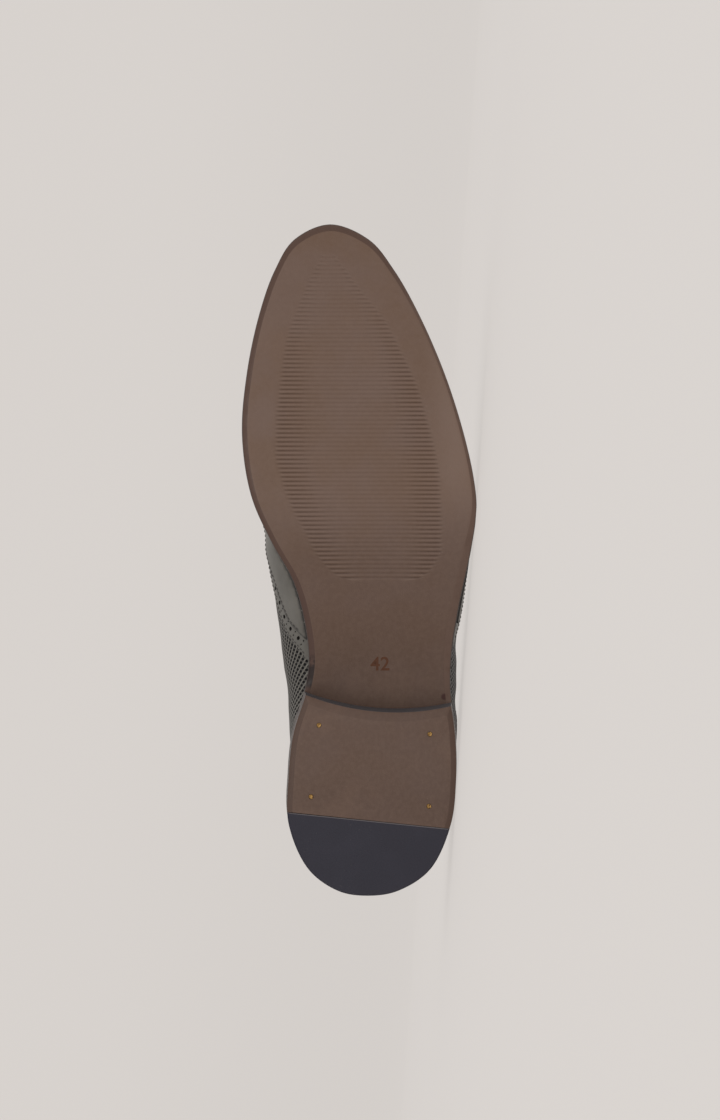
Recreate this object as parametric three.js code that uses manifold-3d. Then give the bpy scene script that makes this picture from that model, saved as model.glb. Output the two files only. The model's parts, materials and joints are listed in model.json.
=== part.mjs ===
// Left brogue shoe, EU size 42, lying on its outer side. Millimetres, +Z up.
// It is modelled standing: x from the heel back to the toe tip, y towards the outer side of the
// foot, z up from the ground. The finished shoe is then laid on its side, sole towards -Y.
import * as THREE from 'three';
import { mergeVertices } from 'three/addons/utils/BufferGeometryUtils.js';
import { ConvexHull } from 'three/addons/math/ConvexHull.js';
import Module from 'manifold-3d';

const wasm = await Module();
wasm.setup();

// Sole
const SOLE_LENGTH = 304;
const BALL_WIDTH = 104.8;
const SOLE_THICKNESS = 4.2;
const SOLE_BEVEL_WIDTH = 2.7;
const SOLE_BEVEL_DEPTH = 1.1;
const TOE_SPRING = 14;
const TREAD_BACK = 184; // the forefoot's flat spot, from the heel back
const TREAD_FRONT = 210;
const WELT_THICKNESS = 2;
const WELT_INSET = 0.4; // outer edge of the welt, inside the sole's edge
const WELT_REACH = 3; // how far the welt runs in under the upper

// Heel
const HEEL_HEIGHT = 21.5; // ground to outsole at the breast
const SEAT_RISE = 5; // extra height at the heel back
const BREAST_INNER = 91; // where the breast meets the inner and outer edge, from the heel back
const BREAST_OUTER = 86;
const BREAST_HOLLOW = 5; // how far the breast curves back between them
const BREAST_SLOPE = 0.3; // the breast leans forward by this much at its top
const HEEL_TAPER = 1.2;
const TOP_PIECE_THICKNESS = 6;
const TOP_PIECE_BEVEL_INNER = 2.5;
const TOP_PIECE_BEVEL_OUTER = 4;
const TOP_PIECE_BEVEL_DEPTH = 0.8;
const RUBBER_BEVEL = 0.8;
const RUBBER_INNER = 38.5; // the rubber's straight front edge, on the inner and outer side
const RUBBER_OUTER = 31;
const NAIL_RADIUS = 1.05;
const NAIL_SIDES = 12;

// Upper
const WALL = 2.2; // outer leather with its lining
const OVERLAY = 1.1; // thickness of a leather laid on the upper
const WELT_MARGIN = 3.7; // sole edge to the widest line of the upper, in the forepart
const FEATHER_TUCK = 1.2; // the upper's foot lies this far inside its widest line
const INNER_OVERHANG = 13.6; // how far the upper stands out past the waist of the sole
const OUTER_OVERHANG = 4.2;
const BELLY_HEIGHT = 28; // sole to the widest line of the upper, at the waist
const INSTEP_HEIGHT = 108.5; // ground to the ridge at the top of the throat
const BACK_TOP = 92; // collar heights above the ground
const ANKLE_TOP = 80;
const THROAT_TOP = 106;
const INNER_RISE = 2.5; // the inner ankle is cut this much higher
const OUTER_FLARE = 3.9; // how far the collar opens outwards at the ankle
const INNER_FLARE = -1.5;
const THROAT_FRONT = 191; // from the heel back
const THROAT_BACK = 118;
const THROAT_GAP_FRONT = 2.4; // half the gap between the facings
const THROAT_GAP_BACK = 6;
const THROAT_ROUND = 3; // length over which the slot's front end rounds off
const FACING_WIDTH = 19;
const INSOLE_THICKNESS = 3;
const TONGUE_THICKNESS = 2.6;
const TONGUE_HALF_WIDTH = 24;
const TONGUE_FRONT = 197;
const TONGUE_TOP = 96; // the tongue's free end, from the heel back
const LACE_DIAMETER = 3.2;
const LACE_BARS = 5;
const EYELET_INSET = 9; // throat edge to the middle of an eyelet

const CLEARANCE = 0.3; // between pieces that meet
const CURVED_CLEARANCE = 0.35; // between curved pieces, whose facets differ
const TONGUE_CLEARANCE = 1.1; // between the tongue and the upper's inside

// How finely the curved pieces are divided
const TOE_STEPS = 10; // sections round the toe, on each side
const VAMP_STEPS = 7; // sections along the closed vamp
const THROAT_STEPS = 9;
const COLLAR_STEPS = 9; // sections along the collar's rise to the throat
const SEAT_STEPS = 4;
const HEEL_STEPS = 8; // sections round the heel, on each side
const UPPER_ROWS = 10; // rows up a section
const WING_ROWS = 7;
const PEAK_ROWS = 3;
const COUNTER_ROWS = 4;
const FACING_ROWS = 3;
const STRAP_ROWS = 5;
const TONGUE_ROWS = 4;
const HEEL_SIDE_STEPS = 6;
const BREAST_STEPS = 10;
const PROFILE_STEPS = 40;
const LACE_SIDES = 8;
const LACE_STEPS = 8;
const SEARCH_STEPS = 34;

// Pivots of the fans that carry the sections round the toe and the heel
const TOE_PIVOT = new THREE.Vector2(0.85 * SOLE_LENGTH, -0.083 * BALL_WIDTH);
const HEEL_PIVOT = new THREE.Vector2(0.12 * SOLE_LENGTH, 0.048 * BALL_WIDTH);
const INNER = -1;
const OUTER = 1;

// The sole's edge from the toe tip down the outer side, round the heel and up the inner side.
// x is a share of the sole's length and y of the ball's width.
const SOLE_EDGE = [
  { x: 1.0, y: -0.13 },
  { x: 0.976, y: 0.039 },
  { x: 0.929, y: 0.147 },
  { x: 0.861, y: 0.254 },
  { x: 0.771, y: 0.364 },
  { x: 0.682, y: 0.445 },
  { x: 0.616, y: 0.487 },
  { x: 0.573, y: 0.498 },
  { x: 0.512, y: 0.476 },
  { x: 0.437, y: 0.433 },
  { x: 0.362, y: 0.4 },
  { x: 0.301, y: 0.396 },
  { x: 0.242, y: 0.417 },
  { x: 0.176, y: 0.422 },
  { x: 0.109, y: 0.4 },
  { x: 0.04, y: 0.308 },
  { x: 0.007, y: 0.163 },
  { x: 0, y: 0.031 },
  { x: 0.007, y: -0.095 },
  { x: 0.04, y: -0.228 },
  { x: 0.109, y: -0.316 },
  { x: 0.176, y: -0.317 },
  { x: 0.242, y: -0.296 },
  { x: 0.301, y: -0.243 },
  { x: 0.346, y: -0.223 },
  { x: 0.407, y: -0.241 },
  { x: 0.467, y: -0.289 },
  { x: 0.526, y: -0.382 },
  { x: 0.594, y: -0.466 },
  { x: 0.682, y: -0.504 },
  { x: 0.771, y: -0.485 },
  { x: 0.861, y: -0.433 },
  { x: 0.929, y: -0.367 },
  { x: 0.976, y: -0.285 },
];
const EDGE_STEPS = 14; // points on each span of that edge

// Width of the bevel under that edge, on each side, as shares of its named width
const BEVELS = [
  { at: 0.0, inner: 1, outer: 1 },
  { at: 0.3, inner: 1.15, outer: 1.1 },
  { at: 0.4, inner: 1.2, outer: 1.6 },
  { at: 0.5, inner: 1.15, outer: 1.5 },
  { at: 0.6, inner: 1.05, outer: 0.75 },
  { at: 0.8, inner: 1.05, outer: 0.6 },
  { at: 0.93, inner: 1.15, outer: 0.9 },
  { at: 1.0, inner: 1.45, outer: 1.45 },
];

// Sections of the last from the heel to the toe. "at" is a share of the sole's length. welt, inner,
// outer, tuck, belly and flare are shares of WELT_MARGIN, INNER_OVERHANG, OUTER_OVERHANG,
// FEATHER_TUCK, BELLY_HEIGHT and the flares, and wall and crown say how full the section is, as
// shares of its height and half width.
const SECTIONS = [
  { at: 0.0, welt: 0.4, inner: 0, outer: 0, tuck: 2.4, belly: 0.88, wall: 0.62, crown: 0.5, flare: 0.1 },
  { at: 0.08, welt: 0.32, inner: 0, outer: 0, tuck: 1.9, belly: 0.88, wall: 0.62, crown: 0.5, flare: 0.3 },
  { at: 0.15, welt: 0.22, inner: 0, outer: 0, tuck: 1.7, belly: 0.9, wall: 0.62, crown: 0.5, flare: 0.75 },
  { at: 0.2, welt: 0.08, inner: 0.03, outer: 0.2, tuck: 1.7,
    belly: 0.92, wall: 0.61, crown: 0.5, flare: 0.95 },
  { at: 0.24, welt: 0, inner: 0.17, outer: 0.46, tuck: 1.6, belly: 0.94, wall: 0.59, crown: 0.5, flare: 1 },
  { at: 0.276, welt: 0, inner: 0.45, outer: 0.65, tuck: 1.1,
    belly: 0.97, wall: 0.56, crown: 0.48, flare: 0.75 },
  { at: 0.306, welt: 0, inner: 0.7, outer: 1, tuck: 0.7, belly: 0.99, wall: 0.53, crown: 0.46, flare: 0.4 },
  { at: 0.336, welt: 0, inner: 0.925, outer: 1, tuck: 0.4, belly: 1, wall: 0.5, crown: 0.42, flare: 0.12 },
  { at: 0.366, welt: 0, inner: 1, outer: 0.73, tuck: 0.4, belly: 1, wall: 0.47, crown: 0.39, flare: 0 },
  { at: 0.41, welt: 0, inner: 0.975, outer: 0.6, tuck: 0.4,
    belly: 0.98, wall: 0.44, crown: 0.36, flare: 0 },
  { at: 0.44, welt: 0, inner: 0.9, outer: 0.25, tuck: 0.45,
    belly: 0.94, wall: 0.42, crown: 0.34, flare: 0 },
  { at: 0.47, welt: 0.05, inner: 0.75, outer: 0.05, tuck: 0.5,
    belly: 0.88, wall: 0.41, crown: 0.33, flare: 0 },
  { at: 0.5, welt: 0.2, inner: 0.51, outer: 0, tuck: 0.6, belly: 0.81, wall: 0.41, crown: 0.33, flare: 0 },
  { at: 0.545, welt: 0.62, inner: 0.125, outer: 0, tuck: 0.8,
    belly: 0.7, wall: 0.43, crown: 0.35, flare: 0 },
  { at: 0.6, welt: 0.9, inner: 0, outer: 0, tuck: 1, belly: 0.59, wall: 0.46, crown: 0.38, flare: 0 },
  { at: 0.7, welt: 0.97, inner: 0, outer: 0, tuck: 1, belly: 0.46, wall: 0.53, crown: 0.46, flare: 0 },
  { at: 0.8, welt: 1, inner: 0, outer: 0, tuck: 1, belly: 0.38, wall: 0.58, crown: 0.54, flare: 0 },
  { at: 0.9, welt: 1, inner: 0, outer: 0, tuck: 0.9, belly: 0.31, wall: 0.6, crown: 0.6, flare: 0 },
  { at: 1.0, welt: 1, inner: 0, outer: 0, tuck: 0.8, belly: 0.26, wall: 0.6, crown: 0.62, flare: 0 },
];

// The ridge over the instep as shares of the length and of the instep's height. Behind the throat
// it is the line that the quarters lean towards, above the open collar.
const RIDGE = [
  { at: 0.12, height: 1.4 },
  { at: 0.2, height: 1.37 },
  { at: 0.27, height: 1.27 },
  { at: 0.335, height: 1.12 },
  { at: 0.39, height: 1.0 },
  { at: 0.45, height: 0.89 },
  { at: 0.517, height: 0.775 },
  { at: 0.583, height: 0.665 },
  { at: 0.65, height: 0.568 },
  { at: 0.717, height: 0.483 },
  { at: 0.783, height: 0.421 },
  { at: 0.85, height: 0.38 },
];

// The collar's edge: how much of the rise to the heel back and to the throat it has.
const COLLAR = [
  { at: 0.0, back: 1, front: 0 },
  { at: 0.04, back: 0.9, front: 0 },
  { at: 0.083, back: 0.6, front: 0 },
  { at: 0.133, back: 0.24, front: 0 },
  { at: 0.183, back: 0.05, front: 0 },
  { at: 0.23, back: 0, front: 0 },
  { at: 0.27, back: 0, front: 0.04 },
  { at: 0.307, back: 0, front: 0.17 },
  { at: 0.347, back: 0, front: 0.46 },
  { at: 0.373, back: 0, front: 0.76 },
  { at: 0.39, back: 0, front: 1 },
];

// Top edge of the wing along each side, and of its peak over the toe. "up" is a share of the way
// from the upper's foot to the ridge.
const WING_INNER = [
  { at: 0.343, up: 0 },
  { at: 0.363, up: 0.06 },
  { at: 0.394, up: 0.15 },
  { at: 0.43, up: 0.195 },
  { at: 0.467, up: 0.225 },
  { at: 0.513, up: 0.26 },
  { at: 0.6, up: 0.34 },
  { at: 0.7, up: 0.41 },
  { at: 0.76, up: 0.49 },
  { at: 0.8, up: 0.6 },
  { at: 0.823, up: 0.7 },
];
const WING_OUTER = [
  { at: 0.365, up: 0 },
  { at: 0.4, up: 0.09 },
  { at: 0.44, up: 0.18 },
  { at: 0.49, up: 0.27 },
  { at: 0.56, up: 0.345 },
  { at: 0.65, up: 0.395 },
  { at: 0.73, up: 0.45 },
  { at: 0.79, up: 0.56 },
  { at: 0.823, up: 0.7 },
];
const WING_PEAK = [
  { at: 0.6, along: 0.84 },
  { at: 0.7, along: 0.823 },
  { at: 0.8, along: 0.808 },
  { at: 0.92, along: 0.79 },
  { at: 1.0, along: 0.777 },
];

// Top edge of the heel counter, as a share of the way up to the ridge line.
const COUNTER_INNER = [
  { at: 0.0, up: 0.29 },
  { at: 0.05, up: 0.26 },
  { at: 0.11, up: 0.18 },
  { at: 0.17, up: 0.08 },
  { at: 0.207, up: 0 },
];
const COUNTER_OUTER = [
  { at: 0.0, up: 0.29 },
  { at: 0.05, up: 0.265 },
  { at: 0.11, up: 0.19 },
  { at: 0.18, up: 0.08 },
  { at: 0.22, up: 0 },
];

// Nails in the top piece, as shares of the sole's length and the ball's width.
const NAILS = [
  { name: 'nail_front_inner', x: 0.255, y: -0.175 },
  { name: 'nail_front_outer', x: 0.242, y: 0.298 },
  { name: 'nail_back_inner', x: 0.15, y: -0.209 },
  { name: 'nail_back_outer', x: 0.136, y: 0.294 },
];

const COLOURS = {
  sole: 0x7d6a60, bevel: 0x6b564c, rubber: 0x37373f, smooth: 0x6f6c68, woven: 0x5c5955,
  lining: 0x3a3a44, lace: 0x45444a, brass: 0xb08a4a, insole: 0x6a5a4c,
};

const TINY = 1e-6;
const lerp = THREE.MathUtils.lerp;
const clamp = THREE.MathUtils.clamp;

// Reads a column of a table at a place along it, on a smooth curve that never overshoots a row.
function along(table, place, column, key = 'at') {
  const last = table.length - 1;
  const x = clamp(place, table[0][key], table[last][key]);
  let i = 0;
  while (i < last - 1 && x > table[i + 1][key]) i += 1;
  const step = (n) => table[n + 1][key] - table[n][key];
  const rise = (n) => (table[n + 1][column] - table[n][column]) / step(n);
  const slope = (n) => {
    if (n === 0) return rise(0);
    if (n === last) return rise(last - 1);
    const before = rise(n - 1);
    const after = rise(n);
    if (before * after <= 0) return 0;
    const weightBefore = 2 * step(n) + step(n - 1);
    const weightAfter = step(n) + 2 * step(n - 1);
    return (weightBefore + weightAfter) / (weightBefore / before + weightAfter / after);
  };
  const t = (x - table[i][key]) / step(i);
  return hermite(t, table[i][column], slope(i) * step(i), table[i + 1][column], slope(i + 1) * step(i));
}

function hermite(t, start, startSlope, end, endSlope) {
  const t2 = t * t;
  const t3 = t2 * t;
  return (2 * t3 - 3 * t2 + 1) * start + (t3 - 2 * t2 + t) * startSlope
    + (3 * t2 - 2 * t3) * end + (t3 - t2) * endSlope;
}

const edgeLine = (() => {
  const corners = SOLE_EDGE.map(({ x, y }) => new THREE.Vector3(x * SOLE_LENGTH, y * BALL_WIDTH, 0));
  const curve = new THREE.CatmullRomCurve3(corners, true, 'centripetal');
  return curve.getPoints(SOLE_EDGE.length * EDGE_STEPS).map((p) => new THREE.Vector2(p.x, p.y));
})();

// Distance from a point inside the sole to its edge, in a given direction.
function reachOf(from, direction) {
  let found = 0;
  for (let i = 0; i + 1 < edgeLine.length; i += 1) {
    const a = edgeLine[i].clone().sub(from);
    const b = edgeLine[i + 1].clone().sub(from);
    const sideA = direction.cross(a);
    const sideB = direction.cross(b);
    if (sideA === sideB || sideA * sideB > 0) continue;
    const hit = a.lerp(b, sideA / (sideA - sideB)).dot(direction);
    found = Math.max(found, hit);
  }
  return found;
}

// A section of the shoe: it stands on the spine at "foot" and faces "out" to the sole's edge.
// k runs 0 to 1 round the toe, 1 to 2 along the shoe and 2 to 3 round the heel.
function section(side, k) {
  const turn = Math.min(k, 1) + Math.max(0, k - 2);
  const angle = turn * Math.PI / 2;
  const foot = TOE_PIVOT.clone().lerp(HEEL_PIVOT, clamp(k - 1, 0, 1));
  const out = new THREE.Vector2(Math.cos(angle), side * Math.sin(angle));
  const reach = reachOf(foot, out);
  return { side, k, foot, out, reach, x: foot.x + out.x * reach };
}

// The k whose section meets the sole's edge at x.
function kAt(side, x) {
  if (x < TOE_PIVOT.x && x > HEEL_PIVOT.x) return 1 + (TOE_PIVOT.x - x) / (TOE_PIVOT.x - HEEL_PIVOT.x);
  let low = x < TOE_PIVOT.x ? 2 : 0;
  let high = low + 1;
  for (let i = 0; i < SEARCH_STEPS; i += 1) {
    const middle = (low + high) / 2;
    if (section(side, middle).x > x) low = middle;
    else high = middle;
  }
  return (low + high) / 2;
}

// Height of the outsole's underside: flat tread, toe spring, arch and heel seat.
function underside(x) {
  const breast = (BREAST_INNER + BREAST_OUTER) / 2;
  if (x > TREAD_FRONT) return TOE_SPRING * ((x - TREAD_FRONT) / (SOLE_LENGTH - TREAD_FRONT)) ** 2;
  if (x > TREAD_BACK) return 0;
  const seatSlope = SEAT_RISE / breast;
  if (x < breast) return HEEL_HEIGHT + seatSlope * (breast - x);
  const span = TREAD_BACK - breast;
  return hermite((TREAD_BACK - x) / span, 0, 0, HEEL_HEIGHT, seatSlope * span);
}

const weltTop = (x) => underside(x) + SOLE_THICKNESS + CLEARANCE + WELT_THICKNESS;

// Insets of the upper's widest line and of its foot from the sole's edge.
function insets({ side, x }) {
  const at = x / SOLE_LENGTH;
  const hang = side < 0
    ? INNER_OVERHANG * along(SECTIONS, at, 'inner')
    : OUTER_OVERHANG * along(SECTIONS, at, 'outer');
  const belly = WELT_MARGIN * along(SECTIONS, at, 'welt') - hang;
  return { belly, feather: belly + hang + FEATHER_TUCK * along(SECTIONS, at, 'tuck') };
}

function cubic(a, b, c, d, t) {
  const s = 1 - t;
  return s * s * s * a + 3 * s * s * t * b + 3 * s * t * t * c + t * t * t * d;
}

// The upper's outer face in one section, from its foot over the belly to the ridge, as points
// with r out from the spine, z up and the share of the way along.
const profiles = new Map();
function profile(sec) {
  const key = sec.side + ':' + sec.k;
  if (profiles.has(key)) return profiles.get(key);
  const at = sec.x / SOLE_LENGTH;
  const { belly, feather } = insets(sec);
  const footZ = weltTop(sec.x) + CURVED_CLEARANCE;
  const footR = sec.reach - feather;
  const bellyR = sec.reach - belly;
  const bellyZ = footZ + BELLY_HEIGHT * along(SECTIONS, at, 'belly');
  const ridgeZ = ridgeHeight(sec.foot.x);
  const slope = ridgeSlope(sec.foot.x) * sec.out.x;
  const wall = along(SECTIONS, at, 'wall') * (ridgeZ - bellyZ);
  const crown = along(SECTIONS, at, 'crown') * bellyR;
  const flare = lerp(OUTER_FLARE, INNER_FLARE, (1 - sec.out.y) / 2) * along(SECTIONS, at, 'flare');
  const lift = bellyZ - footZ;
  const line = [];
  const lowSteps = PROFILE_STEPS / 4;
  for (let i = 0; i < lowSteps; i += 1) {
    const t = i / lowSteps;
    line.push({
      r: cubic(footR, lerp(footR, bellyR, 0.62), bellyR, bellyR, t),
      z: cubic(footZ, footZ + 0.25 * lift, footZ + 0.6 * lift, bellyZ, t),
    });
  }
  const highSteps = PROFILE_STEPS - lowSteps;
  for (let i = 0; i <= highSteps; i += 1) {
    const t = i / highSteps;
    const z = cubic(bellyZ, bellyZ + wall, ridgeZ + slope * crown, ridgeZ, t);
    const opened = clamp((z - bellyZ) / (ANKLE_TOP - bellyZ), 0, 1.15);
    line.push({ r: cubic(bellyR, bellyR, crown, 0, t) + flare * opened ** 3 * (1 - t), z });
  }
  let length = 0;
  line.forEach((p, i) => {
    if (i) length += Math.hypot(p.r - line[i - 1].r, p.z - line[i - 1].z);
    p.length = length;
  });
  line.forEach((p) => { p.share = p.length / length; });
  const made = { line, length };
  profiles.set(key, made);
  return made;
}

const ridgeHeight = (x) => INSTEP_HEIGHT * along(RIDGE, x / SOLE_LENGTH, 'height');
const ridgeSlope = (x) => (ridgeHeight(x + 1) - ridgeHeight(x - 1)) / 2;

function onProfile(sec, share) {
  const { line } = profile(sec);
  let i = 0;
  while (i < line.length - 2 && line[i + 1].share < share) i += 1;
  const t = clamp((share - line[i].share) / (line[i + 1].share - line[i].share), 0, 1);
  return { r: lerp(line[i].r, line[i + 1].r, t), z: lerp(line[i].z, line[i + 1].z, t) };
}

const place = (sec, r, z) => new THREE.Vector3(sec.foot.x + sec.out.x * r, sec.foot.y + sec.out.y * r, z);

// A point on the upper, a share of the way up its section and an offset out of its outer face.
function onUpper(sec, share, offset = 0) {
  const { r, z } = onProfile(sec, share);
  const point = place(sec, r, z);
  if (offset === 0) return point;
  return point.addScaledVector(upperNormal(sec, share), offset);
}

function upperNormal(sec, share) {
  if (share > 0.999) return new THREE.Vector3(-ridgeSlope(sec.foot.x), 0, 1).normalize();
  const step = 0.02;
  const low = onProfile(sec, Math.max(0, share - step));
  const high = onProfile(sec, Math.min(1, share + step));
  const up = place(sec, high.r, high.z).sub(place(sec, low.r, low.z));
  const end = sec.k < step ? 0 : Math.min(sec.k, 3 - step);
  const towardsToe = section(end < step ? -sec.side : sec.side, Math.abs(end - step));
  const towardsHeel = section(sec.side, end + step);
  const ahead = onProfile(towardsToe, share);
  const behind = onProfile(towardsHeel, share);
  const back = place(towardsHeel, behind.r, behind.z).sub(place(towardsToe, ahead.r, ahead.z));
  if (sec.k > 3 - step) back.set(0, -sec.side, 0);
  return back.cross(up).multiplyScalar(sec.side).normalize();
}

// Share of the way up a section where the upper ends: the ridge, the throat or the collar.
function upperTop(sec) {
  const x = sec.x;
  if (sec.k <= kAt(sec.side, THROAT_FRONT) + TINY) return 1;
  const lowest = 0.2;
  const solve = (beyond) => {
    let low = lowest;
    let high = 1;
    for (let i = 0; i < SEARCH_STEPS; i += 1) {
      const middle = (low + high) / 2;
      if (beyond(onProfile(sec, middle))) high = middle;
      else low = middle;
    }
    return low;
  };
  const collar = solve(({ z }) => z > collarHeight(sec.side, x));
  if (x < THROAT_BACK) return collar;
  return Math.min(collar, solve(({ r }) => r < throatGap(x)));
}

function collarHeight(side, x) {
  const back = along(COLLAR, x / SOLE_LENGTH, 'back');
  const front = along(COLLAR, x / SOLE_LENGTH, 'front');
  const rise = side < 0 ? INNER_RISE * (1 - back) * (1 - front) : 0;
  return ANKLE_TOP + (BACK_TOP - ANKLE_TOP) * back + (THROAT_TOP - ANKLE_TOP) * front + rise;
}

function throatGap(x) {
  const t = clamp((THROAT_FRONT - x) / (THROAT_FRONT - THROAT_BACK), 0, 1);
  const rounding = Math.sqrt(clamp((THROAT_FRONT - x) / THROAT_ROUND, 0, 1));
  return lerp(THROAT_GAP_FRONT, THROAT_GAP_BACK, t) * rounding;
}

// Turns triangles of points into a closed mesh: equal points are merged, and triangles that have
// shrunk to a line are left out.
const MERGE = 1e4;
function meshOf(triangles) {
  const seen = new Map();
  const positions = [];
  const indices = [];
  const indexOf = (p) => {
    const key = [p.x, p.y, p.z].map((v) => Math.round(v * MERGE)).join();
    if (!seen.has(key)) {
      seen.set(key, positions.length / 3);
      positions.push(p.x, p.y, p.z);
    }
    return seen.get(key);
  };
  triangles.forEach((corners) => {
    const [a, b, c] = corners.map(indexOf);
    if (a !== b && b !== c && c !== a) indices.push(a, b, c);
  });
  const geometry = new THREE.BufferGeometry();
  geometry.setAttribute('position', new THREE.Float32BufferAttribute(positions, 3));
  geometry.setIndex(indices);
  return facingOut(geometry);
}

function eachTriangle(geometry, visit) {
  const index = geometry.getIndex();
  const count = index ? index.count : geometry.attributes.position.count;
  for (let i = 0; i < count; i += 3) {
    const corners = [i, i + 1, i + 2].map((n) => {
      const at = index ? index.getX(n) : n;
      return new THREE.Vector3().fromBufferAttribute(geometry.attributes.position, at);
    });
    visit(...corners);
  }
}

function facingOut(geometry) {
  const index = geometry.getIndex();
  let volume = 0;
  eachTriangle(geometry, (a, b, c) => { volume += a.dot(b.cross(c)); });
  if (volume < 0) index.array.reverse();
  return geometry;
}

const quad = (a, b, c, d) => [[a, b, c], [a, c, d]];

// A band of two-triangle cells between each row of points and the next.
function between(rows, closed = false) {
  const cells = [];
  for (let j = 0; j + 1 < rows.length; j += 1) {
    const count = closed ? rows[j].length : rows[j].length - 1;
    for (let i = 0; i < count; i += 1) {
      const n = (i + 1) % rows[j].length;
      cells.push(...quad(rows[j][i], rows[j][n], rows[j + 1][n], rows[j + 1][i]));
    }
  }
  return cells;
}

// A solid of stacked outlines, flat at both ends.
function stack(outlines) {
  const flat = outlines[0].map((p) => new THREE.Vector2(p.x, p.y));
  const caps = THREE.ShapeUtils.triangulateShape(flat, []);
  const last = outlines[outlines.length - 1];
  const first = outlines[0];
  const triangles = between(outlines, true);
  caps.forEach(([a, b, c]) => triangles.push([first[c], first[b], first[a]], [last[a], last[b], last[c]]));
  return meshOf(triangles);
}

// The cells of a patch, turned so that they all face out of the last.
function outwardCells(columns) {
  const cells = between(columns);
  let facing = 0;
  cells.forEach(([a, b, c]) => {
    const [p, q, r] = [a, b, c].map(({ sec, share }) => onUpper(sec, share));
    const across = q.sub(p).cross(r.sub(p));
    facing += across.dot(upperNormal(b.sec, b.share));
  });
  return facing < 0 ? cells.map(([a, b, c]) => [c, b, a]) : cells;
}

// A leather laid on the last, from its lower to its higher offset. Its patches are columns of
// { sec, share }. Its foot stays clear of the welt, and a wall that goes inwards has a flat foot.
function sheet(patches, low, high) {
  const cornerAt = ({ sec, share }, offset) => {
    const { line } = profile(sec);
    if (share < TINY && offset < 0) return place(sec, line[0].r + offset, line[0].z);
    const p = onUpper(sec, share, offset);
    return p.setZ(Math.max(p.z, weltTop(p.x) + CURVED_CLEARANCE));
  };
  const nodes = new Map();
  const keyOf = (node) => {
    const p = onUpper(node.sec, node.share, high);
    const key = [p.x, p.y, p.z].map((v) => Math.round(v * MERGE)).join();
    if (!nodes.has(key)) nodes.set(key, { top: cornerAt(node, high), bottom: cornerAt(node, low) });
    return key;
  };
  const faces = patches.flatMap(outwardCells)
    .map((cell) => cell.map(keyOf))
    .filter(([a, b, c]) => a !== b && b !== c && c !== a);
  const edges = new Set();
  const triangles = [];
  faces.forEach((face) => {
    const [a, b, c] = face.map((key) => nodes.get(key));
    triangles.push([a.top, b.top, c.top], [c.bottom, b.bottom, a.bottom]);
    face.forEach((key, n) => edges.add(key + '>' + face[(n + 1) % 3]));
  });
  faces.forEach((face) => face.forEach((from, n) => {
    const to = face[(n + 1) % 3];
    if (edges.has(to + '>' + from)) return;
    const a = nodes.get(from);
    const b = nodes.get(to);
    triangles.push(...quad(b.top, a.top, a.bottom, b.bottom));
  }));
  return meshOf(triangles);
}

// The k of every section that the upper's pieces share, between two ends.
const spread = (from, to, steps) => Array.from({ length: steps + 1 }, (_, i) => lerp(from, to, i / steps));
const SHARED = (() => {
  const front = kAt(OUTER, THROAT_FRONT);
  const back = kAt(OUTER, THROAT_BACK);
  const ankle = kAt(OUTER, COLLAR[5].at * SOLE_LENGTH);
  const spans = [
    [0, 1, TOE_STEPS],
    [1, front, VAMP_STEPS],
    [front, back, THROAT_STEPS],
    [back, ankle, COLLAR_STEPS],
    [ankle, 2, SEAT_STEPS],
    [2, 3, HEEL_STEPS],
  ];
  const all = spans.flatMap(([from, to, steps]) => spread(from, to, steps));
  return all.filter((k, i) => i === 0 || k - all[i - 1] > TINY);
})();

function sharedBetween(from, to) {
  const inside = SHARED.filter((k) => k > from + 0.01 && k < to - 0.01);
  return [from, ...inside, to];
}

// Sections all round the shoe: from the toe down the outer side, round the heel and back.
const AROUND = [
  ...SHARED.map((k) => section(OUTER, k)),
  ...SHARED.slice(1, -1).reverse().map((k) => section(INNER, k)),
];

function ring(inset, height) {
  return AROUND.map((sec) => {
    const p = place(sec, Math.max(0, sec.reach - inset(sec)), 0);
    return p.setZ(height(p.x));
  });
}

const inward = (share) => (sec) => sec.reach * share;
const bevelWidth = (sec) => {
  const side = sec.side < 0 ? 'inner' : 'outer';
  return SOLE_BEVEL_WIDTH * along(BEVELS, sec.x / SOLE_LENGTH, side);
};
const featherInset = (sec) => insets(sec).feather;

function outsole() {
  const soleTop = (x) => underside(x) + SOLE_THICKNESS;
  return meshOf(between([
    ring(inward(1), underside),
    ring(inward(0.6), underside),
    ring(bevelWidth, underside),
    ring(() => 0, (x) => underside(x) + SOLE_BEVEL_DEPTH),
    ring(() => 0, soleTop),
    ring(inward(0.5), soleTop),
    ring(inward(1), soleTop),
  ], true));
}

function welt() {
  const low = (x) => underside(x) + SOLE_THICKNESS + CLEARANCE;
  const reachIn = (sec) => featherInset(sec) + WELT_REACH;
  const rows = [
    ring(() => WELT_INSET, low),
    ring(() => WELT_INSET, weltTop),
    ring(reachIn, weltTop),
    ring(reachIn, low),
  ];
  return meshOf(between([...rows, rows[0]], true));
}

function insole() {
  const low = (x) => underside(x) + SOLE_THICKNESS + CLEARANCE;
  const high = (x) => low(x) + INSOLE_THICKNESS;
  const edge = (sec) => featherInset(sec) + WELT_REACH + CURVED_CLEARANCE;
  const half = (sec) => lerp(edge(sec), sec.reach, 0.5);
  return meshOf(between([
    ring(inward(1), low), ring(half, low), ring(edge, low),
    ring(edge, high), ring(half, high), ring(inward(1), high),
  ], true));
}

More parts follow.
